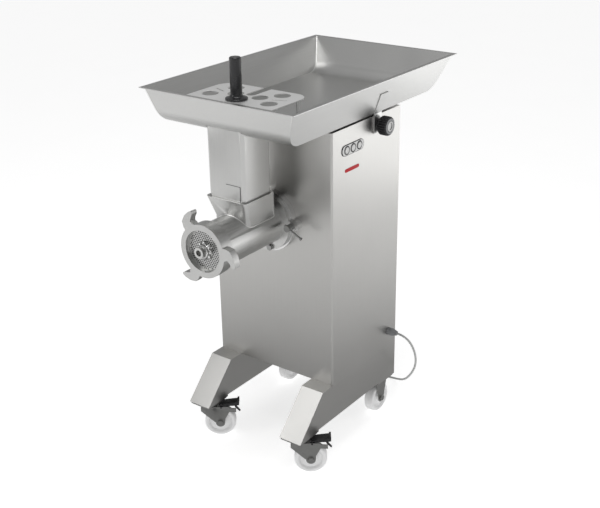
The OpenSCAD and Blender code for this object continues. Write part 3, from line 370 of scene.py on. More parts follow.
def steel(name, colour, roughness, grain=(500, 500, 6), grain_depth=0.05, spread=0.06,
          smudge_scale=5.0, smudge=0.05, contrast=0.05):
    """Worked stainless: long fine scratches along the grain drive a small bump and the roughness,
    and broad faint smudges change roughness and shade, as handling and rolling do."""
    material, tree, shader = node_material(name)
    plain = object_pattern(tree)
    lines = noise(tree, object_pattern(tree, grain), 1.0, 6.0, 0.6)
    smudges = noise(tree, plain, smudge_scale, 3.0, 0.5)
    fine = noise(tree, plain, 900.0, 2.0, 0.5)
    blend = math_node(tree, "ADD", math_node(tree, "MULTIPLY", lines, 0.6),
                      math_node(tree, "MULTIPLY", smudges, 0.4))
    tree.links.new(tint(tree, blend, shade(colour, 1 - contrast), shade(colour, 1 + contrast)),
                   shader.inputs["Base Color"])
    rough = math_node(tree, "ADD", remap(tree, lines, roughness - spread / 2, roughness + spread / 2),
                      remap(tree, smudges, -smudge / 2, smudge / 2))
    tree.links.new(rough, shader.inputs["Roughness"])
    shader.inputs["Metallic"].default_value = 1.0
    height = math_node(tree, "ADD", lines, math_node(tree, "MULTIPLY", fine, 0.15))
    grained(tree, shader, height, grain_depth, 0.0002)
    return material


def cast(name, colour, roughness, grain_scale=700.0, depth=0.2, metallic=1.0, contrast=0.07):
    """Cast or blasted metal: a fine pebbled grain over faint broad shading."""
    material, tree, shader = node_material(name)
    plain = object_pattern(tree)
    grain = noise(tree, plain, grain_scale, 3.0, 0.6)
    broad = noise(tree, plain, 14.0, 3.0, 0.5)
    tree.links.new(tint(tree, broad, shade(colour, 1 - contrast), shade(colour, 1 + contrast)),
                   shader.inputs["Base Color"])
    tree.links.new(math_node(tree, "ADD", remap(tree, grain, roughness - 0.04, roughness + 0.04),
                             remap(tree, broad, -0.03, 0.03)), shader.inputs["Roughness"])
    shader.inputs["Metallic"].default_value = metallic
    grained(tree, shader, grain, depth, 0.0002)
    return material


def plastic(name, colour, roughness, grain_scale=1200.0, depth=0.15, wear=0.12, coat=0.0, sheen=0.0):
    """Moulded plastic or rubber: a fine moulding grain, with a slightly lighter handled bloom."""
    material, tree, shader = node_material(name)
    plain = object_pattern(tree)
    grain = noise(tree, plain, grain_scale, 2.0, 0.5)
    bloom = noise(tree, plain, 22.0, 4.0, 0.6)
    tree.links.new(tint(tree, bloom, shade(colour, 1 - wear), shade(colour, 1 + wear)),
                   shader.inputs["Base Color"])
    tree.links.new(math_node(tree, "ADD", remap(tree, bloom, roughness - 0.05, roughness + 0.05),
                             remap(tree, grain, -0.02, 0.02)), shader.inputs["Roughness"])
    shader.inputs["Coat Weight"].default_value = coat
    shader.inputs["Sheen Weight"].default_value = sheen
    grained(tree, shader, grain, depth, 0.0001)
    return material


MATERIALS = {}


def make_materials():
    """Every finish of the machine, by a plain name."""
    c = colours()
    MATERIALS.update(
        cabinet=steel("brushed_cabinet_sheet", c.steel, 0.36, grain=(700, 700, 5), grain_depth=0.06),
        legs=steel("brushed_leg_sheet", c.steel, 0.34, grain=(700, 5, 700), grain_depth=0.06),
        tray=steel("satin_tray_sheet", c.tray_steel, 0.33, grain=(420, 7, 420), grain_depth=0.05),
        tube=steel("satin_tube_sheet", c.tray_steel, 0.32, grain=(600, 600, 7), grain_depth=0.05),
        # The guard is the tray steel made far lighter: a painted reflection of bright surroundings on its flat
        # top.
        guard=steel("guard_sheet_painted_reflection", shade(c.tray_steel, 1.58), 0.5, grain=(30, 500, 500)),
        weld=steel("ground_weld", shade(c.head_steel, 1.3), 0.36, grain=(260, 260, 260), grain_depth=0.25,
                   contrast=0.12),
        head=cast("blasted_head", c.head_steel, 0.32),
        ring=cast("satin_ring_nut", shade(c.head_steel, 0.95), 0.33, grain_scale=500.0, depth=0.25),
        bright=steel("machined_bright_steel", (0.74, 0.74, 0.735), 0.2, grain=(300, 300, 300),
                     grain_depth=0.06, contrast=0.04),
        screw=steel("dulled_screw_steel", (0.34, 0.34, 0.335), 0.32, grain=(300, 300, 300),
                    grain_depth=0.08),
        web=steel("plate_web_steel", (0.62, 0.62, 0.61), 0.3, grain=(300, 20, 300)),
        # Near black for the walls of the plate's holes: painted shade inside the holes.
        bore=steel("hole_wall_painted_shade", (0.02, 0.02, 0.02), 0.5, grain=(300, 20, 300)),
        tool=steel("ground_tool_steel", (0.36, 0.36, 0.365), 0.3, grain=(300, 20, 300), grain_depth=0.1),
        zinc=steel("zinc_plated_steel", c.zinc, 0.36, grain=(120, 120, 120), grain_depth=0.12,
                   smudge_scale=30.0, contrast=0.1),
        box=cast("sand_cast_box", (0.4, 0.41, 0.42), 0.5, grain_scale=260.0, depth=0.5),
        paint=plastic("grey_motor_paint", (0.16, 0.2, 0.24), 0.4, grain_scale=500.0, depth=0.3, coat=0.2),
        black=plastic("black_moulding", c.black, 0.38, depth=0.2, coat=0.12),
        handle=plastic("black_pusher", shade(c.black, 0.9), 0.3, depth=0.1, coat=0.25),
        grey=plastic("grey_moulding", (0.22, 0.225, 0.23), 0.42),
        light=plastic("light_moulding", (0.66, 0.66, 0.65), 0.32, wear=0.05, coat=0.2),
        outline=plastic("dark_outline", (0.045, 0.045, 0.05), 0.45),
        nylon=plastic("white_nylon", c.nylon, 0.4, grain_scale=500.0, depth=0.15, wear=0.05),
        rubber=plastic("black_rubber", (0.03, 0.03, 0.03), 0.7, depth=0.3, sheen=0.2),
        cord=plastic("cord_jacket", c.cord, 0.5, grain_scale=900.0, depth=0.2, wear=0.08),
        badge=plastic("plain_badge", c.badge, 0.6, wear=0.1),
    )


class GRINDER_OT_finishes(bpy.types.Operator):
    """Make every finish and put one on each frame node"""

    bl_idname = "grinder.finishes"
    bl_label = "Finishes"

    def execute(self, context):
        make_materials()
        m = MATERIALS
        groups = {
            "cabinet": ["base_plate", "cabinet_shell", "top_plate", "rear_cover"],
            "legs": ["left_leg", "right_leg"],
            "tray": ["tray_pan", "lock_tab"],
            "tube": ["feed_tube"],
            "guard": ["finger_guard"],
            "head": ["grinding_head", "auger"],
            "ring": ["ring_nut"],
            "bright": ["mounting_collar", "hole_plate", "rear_screws", "drive_bearings", "knob_stud",
                       "knob_insert"],
            "screw": ["flange_bolts", "right_clamp_screw", "left_clamp_screw"],
            "tool": ["plate_key", "knife", "output_shaft", "output_gear", "layshaft", "motor_rotor"],
            "zinc": ["castor_plates", "castor_bolts", "rear_forks", "rear_axles", "left_fork",
                     "right_fork"],
            "box": ["gearbox_housing", "gearbox_cover"],
            "paint": ["motor_housing", "fan_cover"],
            "black": ["lock_knob", "left_brake", "right_brake", "switch_blocks", "motor_fan"],
            "handle": ["pusher"],
            "grey": ["control_box", "cable_gland", "mains_plug"],
            "light": ["button_plate", "start_button", "stop_button", "reverse_button"],
            "nylon": ["left_wheel", "right_wheel", "rear_left_wheel", "rear_right_wheel"],
            "rubber": ["tray_seats", "shaft_seal"],
            "cord": ["mains_cord", "cord_coil"],
        }
        for finish, names in groups.items():
            paint_nodes(names, m[finish])
        left = set(NODES) - {n for names in groups.values() for n in names}
        if left:
            raise RuntimeError("nodes with no finish: %s" % sorted(left))
        return {"FINISHED"}


# ---------------------------------------------------------------- stage and camera

CAMERA_AZIMUTH = math.radians(36.76)
CAMERA_HEIGHT_ANGLE = math.radians(23.36)
CAMERA_ROLL = math.radians(-0.94)
CAMERA_TARGET = np.array([0.0, -0.0035, 0.5858])
CAMERA_DISTANCE = 3.2585
CAMERA_LENS = 62.4
FLOOR_GLOW = 0.6
WALL_LIGHT = 0.36
# The table that the metal reflects is a darker copy of the floor, seen only in reflections, and darker still round
# the machine than far from it: painted shade, and a painted shadow round the machine.
TABLE_FADE = (0.6, 1.7)
TABLE_NEAR_SHADOW, TABLE_FAR = (0.30, 0.30, 0.30), (0.86, 0.86, 0.86)
PAPER_DARK, PAPER_LIGHT = (0.93, 0.93, 0.93), (0.95, 0.95, 0.95)
TABLE_DROP = 0.002


class GRINDER_OT_stage(bpy.types.Operator):
    """Set the camera, the soft studio light and the pale floor"""

    bl_idname = "grinder.stage"
    bl_label = "Camera, light and floor"

    def execute(self, context):
        scene = context.scene
        a, e, r = CAMERA_AZIMUTH, CAMERA_HEIGHT_ANGLE, CAMERA_ROLL
        back = np.array([math.sin(a) * math.cos(e), -math.cos(a) * math.cos(e), math.sin(e)])
        right = np.array([math.cos(a), math.sin(a), 0])
        up = np.cross(back, right)
        right, up = (math.cos(r) * right + math.sin(r) * up, -math.sin(r) * right + math.cos(r) * up)
        eye = CAMERA_TARGET + CAMERA_DISTANCE * back
        camera = placed("camera", bpy.data.cameras.new("camera"))
        camera.data.lens = CAMERA_LENS
        camera.data.sensor_width = 36.0
        camera.data.clip_end = 60.0
        camera.matrix_world = Matrix([[*row, place] for row, place in
                                      zip(np.stack([right, up, back], 1), eye)] + [[0, 0, 0, 1]])
        scene.camera = camera
        scene.view_settings.view_transform = "Standard"

        self.studio(scene)
        self.softbox("overhead_box", (0.25, -0.5, 3.3), (0.0, -0.1, 0.6), (1.4, 1.4), 3.4)
        self.softbox("front_left_box", (-0.95, -1.5, 1.6), (0.0, -0.3, 0.4), (0.8, 0.8), 2.2)
        self.softbox("right_card", (1.05, 1.15, 0.82), (0.22, 0.05, 0.82), (1.3, 0.9), 0.92)

        floor = self.plane("floor", 0.0)
        paper, tree, shader = node_material("paper_floor")
        mottle = noise(tree, object_pattern(tree), 3.0)
        tree.links.new(tint(tree, mottle, PAPER_DARK, PAPER_LIGHT), shader.inputs["Base Color"])
        shader.inputs["Roughness"].default_value = 0.9
        shader.inputs["Emission Color"].default_value = (1, 1, 1, 1)
        shader.inputs["Emission Strength"].default_value = FLOOR_GLOW
        floor.data.materials.append(paper)
        floor.visible_glossy = False
        floor.visible_shadow = False

        under = self.plane("table_under_floor", -TABLE_DROP)
        grey, tree, shader = node_material("reflected_table_painted_shade")
        # Darker near the machine: a painted shadow that the metal sees in its reflections.
        away = add(tree, "ShaderNodeVectorMath", operation="LENGTH")
        tree.links.new(object_pattern(tree), away.inputs[0])
        shares = remap(tree, away.outputs["Value"], 0.25, 0.75, *TABLE_FADE)
        tree.links.new(tint(tree, shares, TABLE_NEAR_SHADOW, TABLE_FAR), shader.inputs["Base Color"])
        shader.inputs["Roughness"].default_value = 0.9
        under.data.materials.append(grey)
        under.visible_camera = False
        under.visible_diffuse = False
        return {"FINISHED"}

    @staticmethod
    def studio(scene):
        """Dim even studio walls, as metal reflects them."""
        world = bpy.data.worlds.new("studio")
        world.use_nodes = True
        back = world.node_tree.nodes["Background"]
        back.inputs["Color"].default_value = (1, 1, 1, 1)
        back.inputs["Strength"].default_value = WALL_LIGHT
        scene.world = world

    @staticmethod
    def softbox(name, place, target, size, brightness):
        """A soft rectangular lamp that looks at target and isn't seen by the camera itself. Its power
        gives its face the brightness: power = brightness * pi * area."""
        lamp = bpy.data.lights.new(name, "AREA")
        lamp.shape = "RECTANGLE"
        lamp.size, lamp.size_y = size
        lamp.energy = brightness * math.pi * size[0] * size[1]
        lamp.color = (1, 1, 1)
        lamp.spread = math.pi
        piece = placed(name, lamp)
        axis, u, v = basis(np.asarray(place, float) - np.asarray(target, float))
        piece.matrix_world = Matrix([[u[k], v[k], axis[k], place[k]] for k in range(3)] + [[0, 0, 0, 1]])
        piece.visible_camera = False

    @staticmethod
    def plane(name, height, edge=14.0):
        return mesh_piece(name, [[-edge, -edge, height], [edge, -edge, height], [edge, edge, height],
                                 [-edge, edge, height]], [[0, 1, 2, 3]])


# ---------------------------------------------------------------- cord

CORD_ROUTE_MM = [
    (252, 176.5, 303), (266, 176.5, 302), (279, 178.5, 297), (290, 184, 286), (297, 193, 268),
    (300, 205, 244), (298, 220, 214), (290, 237, 183), (276, 256, 151), (258, 277, 121),
    (238, 299, 92), (217, 320, 65), (195, 339, 40), (172, 356, 20), (147, 367, 8),
    (120, 369, 4), (90, 363, 3.8), (60, 353, 3.8), (30, 344, 3.8), (0, 339, 3.8), (-30, 338, 3.8),
]

COIL_RADIUS = 0.040
CORD_LIE = 0.0038


def coil_path(centre, turns, cord_d, points_a_turn=20):
    """Turns of cord laid as a neat round coil. The lower layer winds inwards a diameter each turn,
    and the upper layer winds back out in its grooves: r(k) = r0 + lane(k) * d, and each change of
    lane is a smooth step w^2 (3 - 2w) over the second half of a turn."""
    n = int(turns * points_a_turn)
    k = np.arange(1, n + 1) / points_a_turn
    a = -np.pi / 2 - k * 2 * np.pi
    lane, lift = np.full(n, 1.0), np.zeros(n)
    for turn, (shift, climb) in enumerate(((-1, 0), (-1, 0), (0.5, 0.88), (1, 0))):
        w = np.clip((k - turn - 0.5) / 0.5, 0, 1)
        lane += shift * w * w * (3 - 2 * w)
        lift += climb * w * w * (3 - 2 * w)
    r = COIL_RADIUS + lane * cord_d * 1.02
    return np.stack([centre[0] + r * np.cos(a), centre[1] + r * np.sin(a), CORD_LIE + lift * cord_d], 1)


def smooth_route(points, parts=4):
    """Four-point blend through the points: 0.5 (2b + (c-a)t + (2a-5b+4c-d)t^2 + (3b-a-3c+d)t^3)."""
    p = np.asarray(points, float)
    n = len(p) - 1
    t = (np.arange(parts) / parts)[None, :, None]
    i = np.arange(n)
    a, b = p[np.maximum(i - 1, 0)][:, None], p[i][:, None]
    c, d = p[i + 1][:, None], p[np.minimum(i + 2, n)][:, None]
    out = 0.5 * (2 * b + (c - a) * t + (2 * a - 5 * b + 4 * c - d) * t ** 2
                 + (3 * b - a - 3 * c + d) * t ** 3)
    return np.vstack([out.reshape(-1, 3), p[-1:]])


class GRINDER_OT_cord(bpy.types.Operator):
    """Lay the mains cord, its coil, its tie and its plug"""

    bl_idname = "grinder.cord"
    bl_label = "Mains cord"

    def execute(self, context):
        s = sizes()
        d = s.cord_diameter
        low, high = box("cord_coil")
        centre = (low + high) / 2
        plug_low, plug_high = box("mains_plug")
        coil = coil_path(centre, s.coil_turns, d)
        plug_mid = (plug_low + plug_high) / 2
        exit_end = np.array([plug_mid[0], plug_low[1], plug_mid[2]])
        run_out = coil[-1] - coil[-2]
        run_out *= 0.03 / np.linalg.norm(run_out)
        run_in = np.array([0, 0.027, 0])
        t = np.linspace(0, 1, 7)[1:-1, None]
        tail = ((1 - t) ** 3 * coil[-1] + 3 * t * (1 - t) ** 2 * (coil[-1] + run_out)
                + 3 * t ** 2 * (1 - t) * (exit_end - run_in) + t ** 3 * exit_end)
        route = [np.array(p) * MM for p in CORD_ROUTE_MM] + list(coil) + list(tail) + [exit_end]
        path = evenly(smooth_route(route), d * 0.7)
        cord = swept("mains_cord_run", path, d / 2, sides=12)
        dress(cord, MATERIALS["cord"], "frame", "mains_cord", "cord_coil")

        side = centre + np.array([COIL_RADIUS, 0, 0])
        a = np.linspace(0, 2 * np.pi, 40, endpoint=False)
        ring = np.stack([side[0] + 0.0125 * np.cos(a), np.full(len(a), side[1]),
                         0.0078 + 0.0066 * np.sin(a)], 1)
        tie = swept("cord_tie", ring, 0.0011, sides=8, closed=True)
        dress(tie, MATERIALS["black"], "frame")

        plug = softened("mains_plug", 0.0008)
        dress(plug, MATERIALS["grey"], "frame", "mains_plug")
        return {"FINISHED"}


# ---------------------------------------------------------------- tray

# A leaning side wall measured along X is thicker than its sheet by this factor
WALL_FIT = 1.06


def tray_numbers():
    """The tray's driving sizes, read from the frame's box."""
    low, high = box("tray_pan")
    rim = 0.010
    half_floor = 0.223
    half_top = high[0] - rim
    lean = (half_top - half_floor) / (high[2] - low[2])
    return low, high, rim, half_floor, lean


def tray_run(sheet):
    """The tray's long profile, inside the sheet: front wall, bend, floor, bend, back wall. The bends
    are arcs tangent to wall and floor; returns the (y, z) points."""
    low, high, rim, _, _ = tray_numbers()
    depth = high[2] - low[2]
    r = sizes().tray_bend
    out = []
    for end, run in ((0, 0.028), (1, 0.058)):
        lean = math.atan(run / depth)
        wall = low[1] + rim if end == 0 else high[1] - rim
        foot = wall + run if end == 0 else wall - run
        inset = r * math.tan((math.pi / 2 - lean) / 2)
        centre = np.array([foot + inset if end == 0 else foot - inset, low[2] + r])
        a = (np.linspace(math.pi + lean, 1.5 * math.pi, 18) if end == 0
             else np.linspace(1.5 * math.pi, 2 * math.pi - lean, 18))
        arc = centre + (r - sheet) * np.stack([np.cos(a), np.sin(a)], 1)
        top = wall + sheet / math.cos(lean) * (1 if end == 0 else -1)
        side = np.array([[top, high[2]]])
        out.append(np.vstack([side, arc]) if end == 0 else np.vstack([arc, side]))
    return out


def inner_half(z, sheet):
    """Half of the tray's inner width at height z, a straight line up the leaning side walls."""
    low, _, _, half_floor, lean = tray_numbers()
    return half_floor - sheet * WALL_FIT + lean * (z - low[2])


def corner_line(sheet, side):
    """The inner corner where a side wall meets the long profile."""
    run = np.vstack(tray_run(sheet))
    return np.stack([side * inner_half(run[:, 1], sheet), run[:, 0], run[:, 1]], 1)


class GRINDER_OT_tray(bpy.types.Operator):
    """Fold the tray from one sheet and weld its corners"""

    bl_idname = "grinder.tray"
    bl_label = "Tray"

    def execute(self, context):
        s = sizes()
        sheet = s.sheet
        run, hole_x, hole_y = self.long_run(sheet)
        parts = [self.strip(run, hole_x, hole_y, sheet), self.wall(run, -1, sheet),
                 self.wall(run, 1, sheet), self.rim(run, sheet)]
        starts = np.cumsum([0] + [len(points) for points, _ in parts])
        pan = mesh_piece("tray_sheet_pan", np.vstack([points for points, _ in parts]),
                         np.vstack([faces + start for (_, faces), start in zip(parts, starts)]),
                         smooth_angle=25)
        self.face_up(pan)
        thick = pan.modifiers.new("sheet", "SOLIDIFY")
        thick.thickness = sheet
        thick.offset = -1.0
        thick.use_even_offset = True
        soft = pan.modifiers.new("edges", "BEVEL")
        soft.width = 0.0007
        soft.segments = 2
        soft.miter_outer = "MITER_ARC"
        soft.limit_method = "ANGLE"
        soft.angle_limit = math.radians(30)
        soft.harden_normals = True
        dress(pan, MATERIALS["tray"], "tray", "tray_pan")
        for side, side_name in ((-1, "left"), (1, "right")):
            self.welds(side, side_name, sheet, s.weld * 0.7)
        return {"FINISHED"}

    @classmethod
    def long_run(cls, sheet):
        """The whole long profile from rim to rim, with rows at the tube hole's ends, and the hole's
        half width and its two ends."""
        front, back = tray_run(sheet)
        tube_low, tube_high = box("feed_tube")
        hole_x = tube_high[0] - sheet
        hole_y = (tube_low[1] + sheet, tube_high[1] - sheet)
        front = cls.with_row(front, hole_y[0])
        cuts = np.linspace(front[-1, 0], back[0, 0], 30)[1:-1]
        cuts = np.sort(np.append(cuts[np.abs(cuts - hole_y[1]) > 0.008], [hole_y[1]]))
        floor = np.stack([cuts, np.full(len(cuts), front[-1, 1])], 1)
        return np.vstack([front, floor, back]), hole_x, hole_y

    @staticmethod
    def strip(run, hole_x, hole_y, sheet):
        """Floor and end walls in one strip with the tube's hole cut out: rows along the profile, and
        columns at t * inner half width, where t runs -1..1."""
        half_floor = tray_numbers()[3]
        half = inner_half(run[:, 1], sheet)
        t = np.array([-1, -0.8, -0.6, -0.42, -hole_x / half_floor, -0.15, 0, 0.15, hole_x / half_floor,
                      0.42, 0.6, 0.8, 1])
        shape = (len(run), len(t))
        points = np.stack([half[:, None] * t, np.broadcast_to(run[:, 0:1], shape),
                           np.broadcast_to(run[:, 1:2], shape)], -1).reshape(-1, 3)
        faces = grid_faces(*shape)
        x, y, _ = points[faces].mean(1).T
        return points, faces[~((np.abs(x) < hole_x) & (y > hole_y[0]) & (y < hole_y[1]))]

    @staticmethod
    def wall(run, side, sheet):
        """A side wall, from the long profile straight up its leaning plane to the rim."""
        top = tray_numbers()[1][2]
        v = np.linspace(0, 1, 6)
        z = run[:, 1:2] + (top - run[:, 1:2]) * v
        points = np.stack([side * inner_half(z, sheet), np.broadcast_to(run[:, 0:1], z.shape), z], -1)
        return points.reshape(-1, 3), grid_faces(len(run), len(v))

    @staticmethod
    def rim(run, sheet):
        """The flat rim: inner rectangle to outer rectangle, mitred."""
        low, high = tray_numbers()[:2]
        x_in = inner_half(high[2], sheet)
        inner = [[-x_in, run[0, 0]], [x_in, run[0, 0]], [x_in, run[-1, 0]], [-x_in, run[-1, 0]]]
        outer = [[low[0], low[1]], [high[0], low[1]], [high[0], high[1]], [low[0], high[1]]]
        points = np.c_[np.vstack([inner, outer]), np.full(8, high[2])]
        return points, np.array([[k, (k + 1) % 4, 4 + (k + 1) % 4, 4 + k] for k in range(4)])

    @staticmethod
    def welds(side, side_name, sheet, radius):
        """Beads in the two inner corners of one side wall, a little below the rim."""
        top = tray_numbers()[1][2]
        line = corner_line(sheet, side)
        line[:, 0] -= side * 0.0008
        line[:, 2] = np.minimum(line[:, 2], top - 0.002)
        ends = len(line) // 2
        for part, end in ((line[:ends], "front"), (line[-ends:], "back")):
            bead = swept("tray_weld_%s_%s" % (end, side_name), evenly(part, 0.0012), radius,
                         sides=8, ripple=0.18, pitch=0.003)
            dress(bead, MATERIALS["weld"], "tray")

    @staticmethod
    def with_row(run, y):
        """The run's points with one more at y, on the line between its neighbours."""
        order = np.argsort(run[:, 0])
        z = np.interp(y, run[order, 0], run[order, 1])
        at = int(np.searchsorted(run[:, 0], y))
        return np.insert(run, at, [y, z], axis=0)

    @staticmethod
    def face_up(pan):
        """Turns the sheet so that its upper side faces out, and the thickness goes below."""
        mesh = pan.data
        floor = max(mesh.polygons, key=lambda f: f.area if abs(f.normal.z) > 0.99 else 0)
        if floor.normal.z < 0:
            mesh.flip_normals()


# ---------------------------------------------------------------- head

def neck_seam():
    """Where the leaning neck meets the barrel: for each direction round the neck's section, the height
    is solved by repeating z = axis + sqrt(R^2 - x(z)^2) with x(z) from the straight taper."""
    _, high = box("grinding_head")
    barrel = 0.0675
    axis_z = 0.753
    top, foot = high[2], axis_z + 0.030
    tube_y = -0.2805
    a = np.linspace(0, 2 * np.pi, 160, endpoint=False)
    z = np.full(a.shape, axis_z + barrel)
    for _ in range(30):
        f = (z - foot) / (top - foot)
        hx, hy = 0.056 + (0.072 - 0.056) * f, 0.063 + (0.068 - 0.063) * f
        yc = tube_y + 0.027 * (1 - f)
        # Rounded rectangle by direction: a super-ellipse of high power
        power = 9.0
        scale = (np.abs(np.cos(a) / hx) ** power + np.abs(np.sin(a) / hy) ** power) ** (-1 / power)
        x, y = scale * np.cos(a), yc + scale * np.sin(a)
        z = axis_z + np.sqrt(np.maximum(barrel ** 2 - x ** 2, 0))
    return np.stack([x, y, z], 1)


class GRINDER_OT_head(bpy.types.Operator):
    """Finish the mincing head, its ring nut, welds and clamp screws"""

    bl_idname = "grinder.head"
    bl_label = "Mincing head"

    def execute(self, context):
        s = sizes()
        soften_nodes(["ring_nut"], 0.0016, MATERIALS["ring"], segments=3)
        soften_nodes(["mounting_collar"], 0.0014, MATERIALS["bright"])
        soften_nodes(["grinding_head"], s.edge, MATERIALS["head"])
        soften_nodes(["feed_tube"], 0.0005, MATERIALS["tube"])
        soften_nodes(["flange_bolts", "right_clamp_screw", "left_clamp_screw"], 0.0007, MATERIALS["screw"])
        self.plate()
        self.hub()
        seam = neck_seam()
        seam = np.vstack([seam, seam[:1]])
        bead = swept("neck_weld", evenly(seam, 0.0015)[:-1], s.weld, sides=8, closed=True,
                     ripple=0.2, pitch=0.0035)
        dress(bead, MATERIALS["weld"], "frame")
        # A thin dark cord on the tube's front, across at sleeve_top and down its right edge to sleeve_low: a
        # painted shadow line where the gap at the tube shows dark.
        low, high = box("feed_tube")
        front, edge = low[1] - 0.0006, high[0] - 0.014
        sleeve_top, sleeve_low = 0.917, 0.8725
        gap_shadow_path = np.array([[0, front, sleeve_top], [edge, front, sleeve_top], [edge, front, sleeve_low]])
        lip = swept("tube_gap_painted_shadow", evenly(gap_shadow_path, 0.002), 0.0007, sides=6)
        dress(lip, MATERIALS["outline"], "tray")
        return {"FINISHED"}


    @staticmethod
    def plate():
        """The hole plate, with the walls of its holes in near black: painted shade for the dark inside of the
        holes.
        """
        mesh = NODES["hole_plate"].data.copy()
        piece = placed("hole_plate_face", mesh)
        dress(piece, MATERIALS["web"], "frame", "hole_plate")
        mesh.materials.append(MATERIALS["bore"])
        normals = np.empty(3 * len(mesh.polygons))
        mesh.polygons.foreach_get("normal", normals)
        # Faces square to the plate's face, the hole walls, get the near black: painted shade inside the holes.
        mesh.polygons.foreach_set("material_index", (np.abs(normals[1::3]) < 0.5).astype(int))

    @staticmethod
    def hub():
        """Fluted boss that holds the plate on the auger's stud."""
        low, high = box("hole_plate")
        centre = (low + high) / 2
        boss = turned("plate_boss", [
            (0.0165, 0, 0), (0.0285, 0, 1), (0.0285, 0.0060, 1), (0.0265, 0.0085, 0.9),
            (0.0215, 0.0105, 0.3), (0.0195, 0.0150, 0), (0.0165, 0.0160, 0), (0.0165, 0, 0)],
            (centre[0], low[1], centre[2]), (0, -1, 0), steps=144, flute=0.0065, flutes=8, smooth_angle=40)
        dress(boss, MATERIALS["bright"], "frame")


# ---------------------------------------------------------------- guard and pusher

class GRINDER_OT_feed(bpy.types.Operator):
    """Finish the finger guard and turn the pusher"""

    bl_idname = "grinder.feed"
    bl_label = "Guard and pusher"

    def execute(self, context):
        soften_nodes(["finger_guard"], 0.0006, MATERIALS["guard"])
        low, high = box("pusher")
        centre = (low + high) / 2
        guard_top = box("finger_guard")[1][2]
        flange, stem, handle = high[0], 0.026, 0.0165
        rise = high[2] - guard_top
        drop = low[2] - guard_top
        profile = rounded([
            (0, drop), (stem - 0.002, drop), (stem, drop + 0.003), (stem, -0.0002), (flange, 0.0),
            (flange, 0.005), (handle + 0.003, 0.009), (handle, 0.014), (handle, rise - 0.0025),
            (handle - 0.0025, rise), (0, rise)], 0.002, 6)
        profile[:, 0] = np.maximum(profile[:, 0], 0)
        pusher = turned("pusher_turned", profile, (centre[0], centre[1], guard_top), (0, 0, 1), steps=72)
        dress(pusher, MATERIALS["handle"], "pusher", "pusher")
        return {"FINISHED"}


# ---------------------------------------------------------------- controls

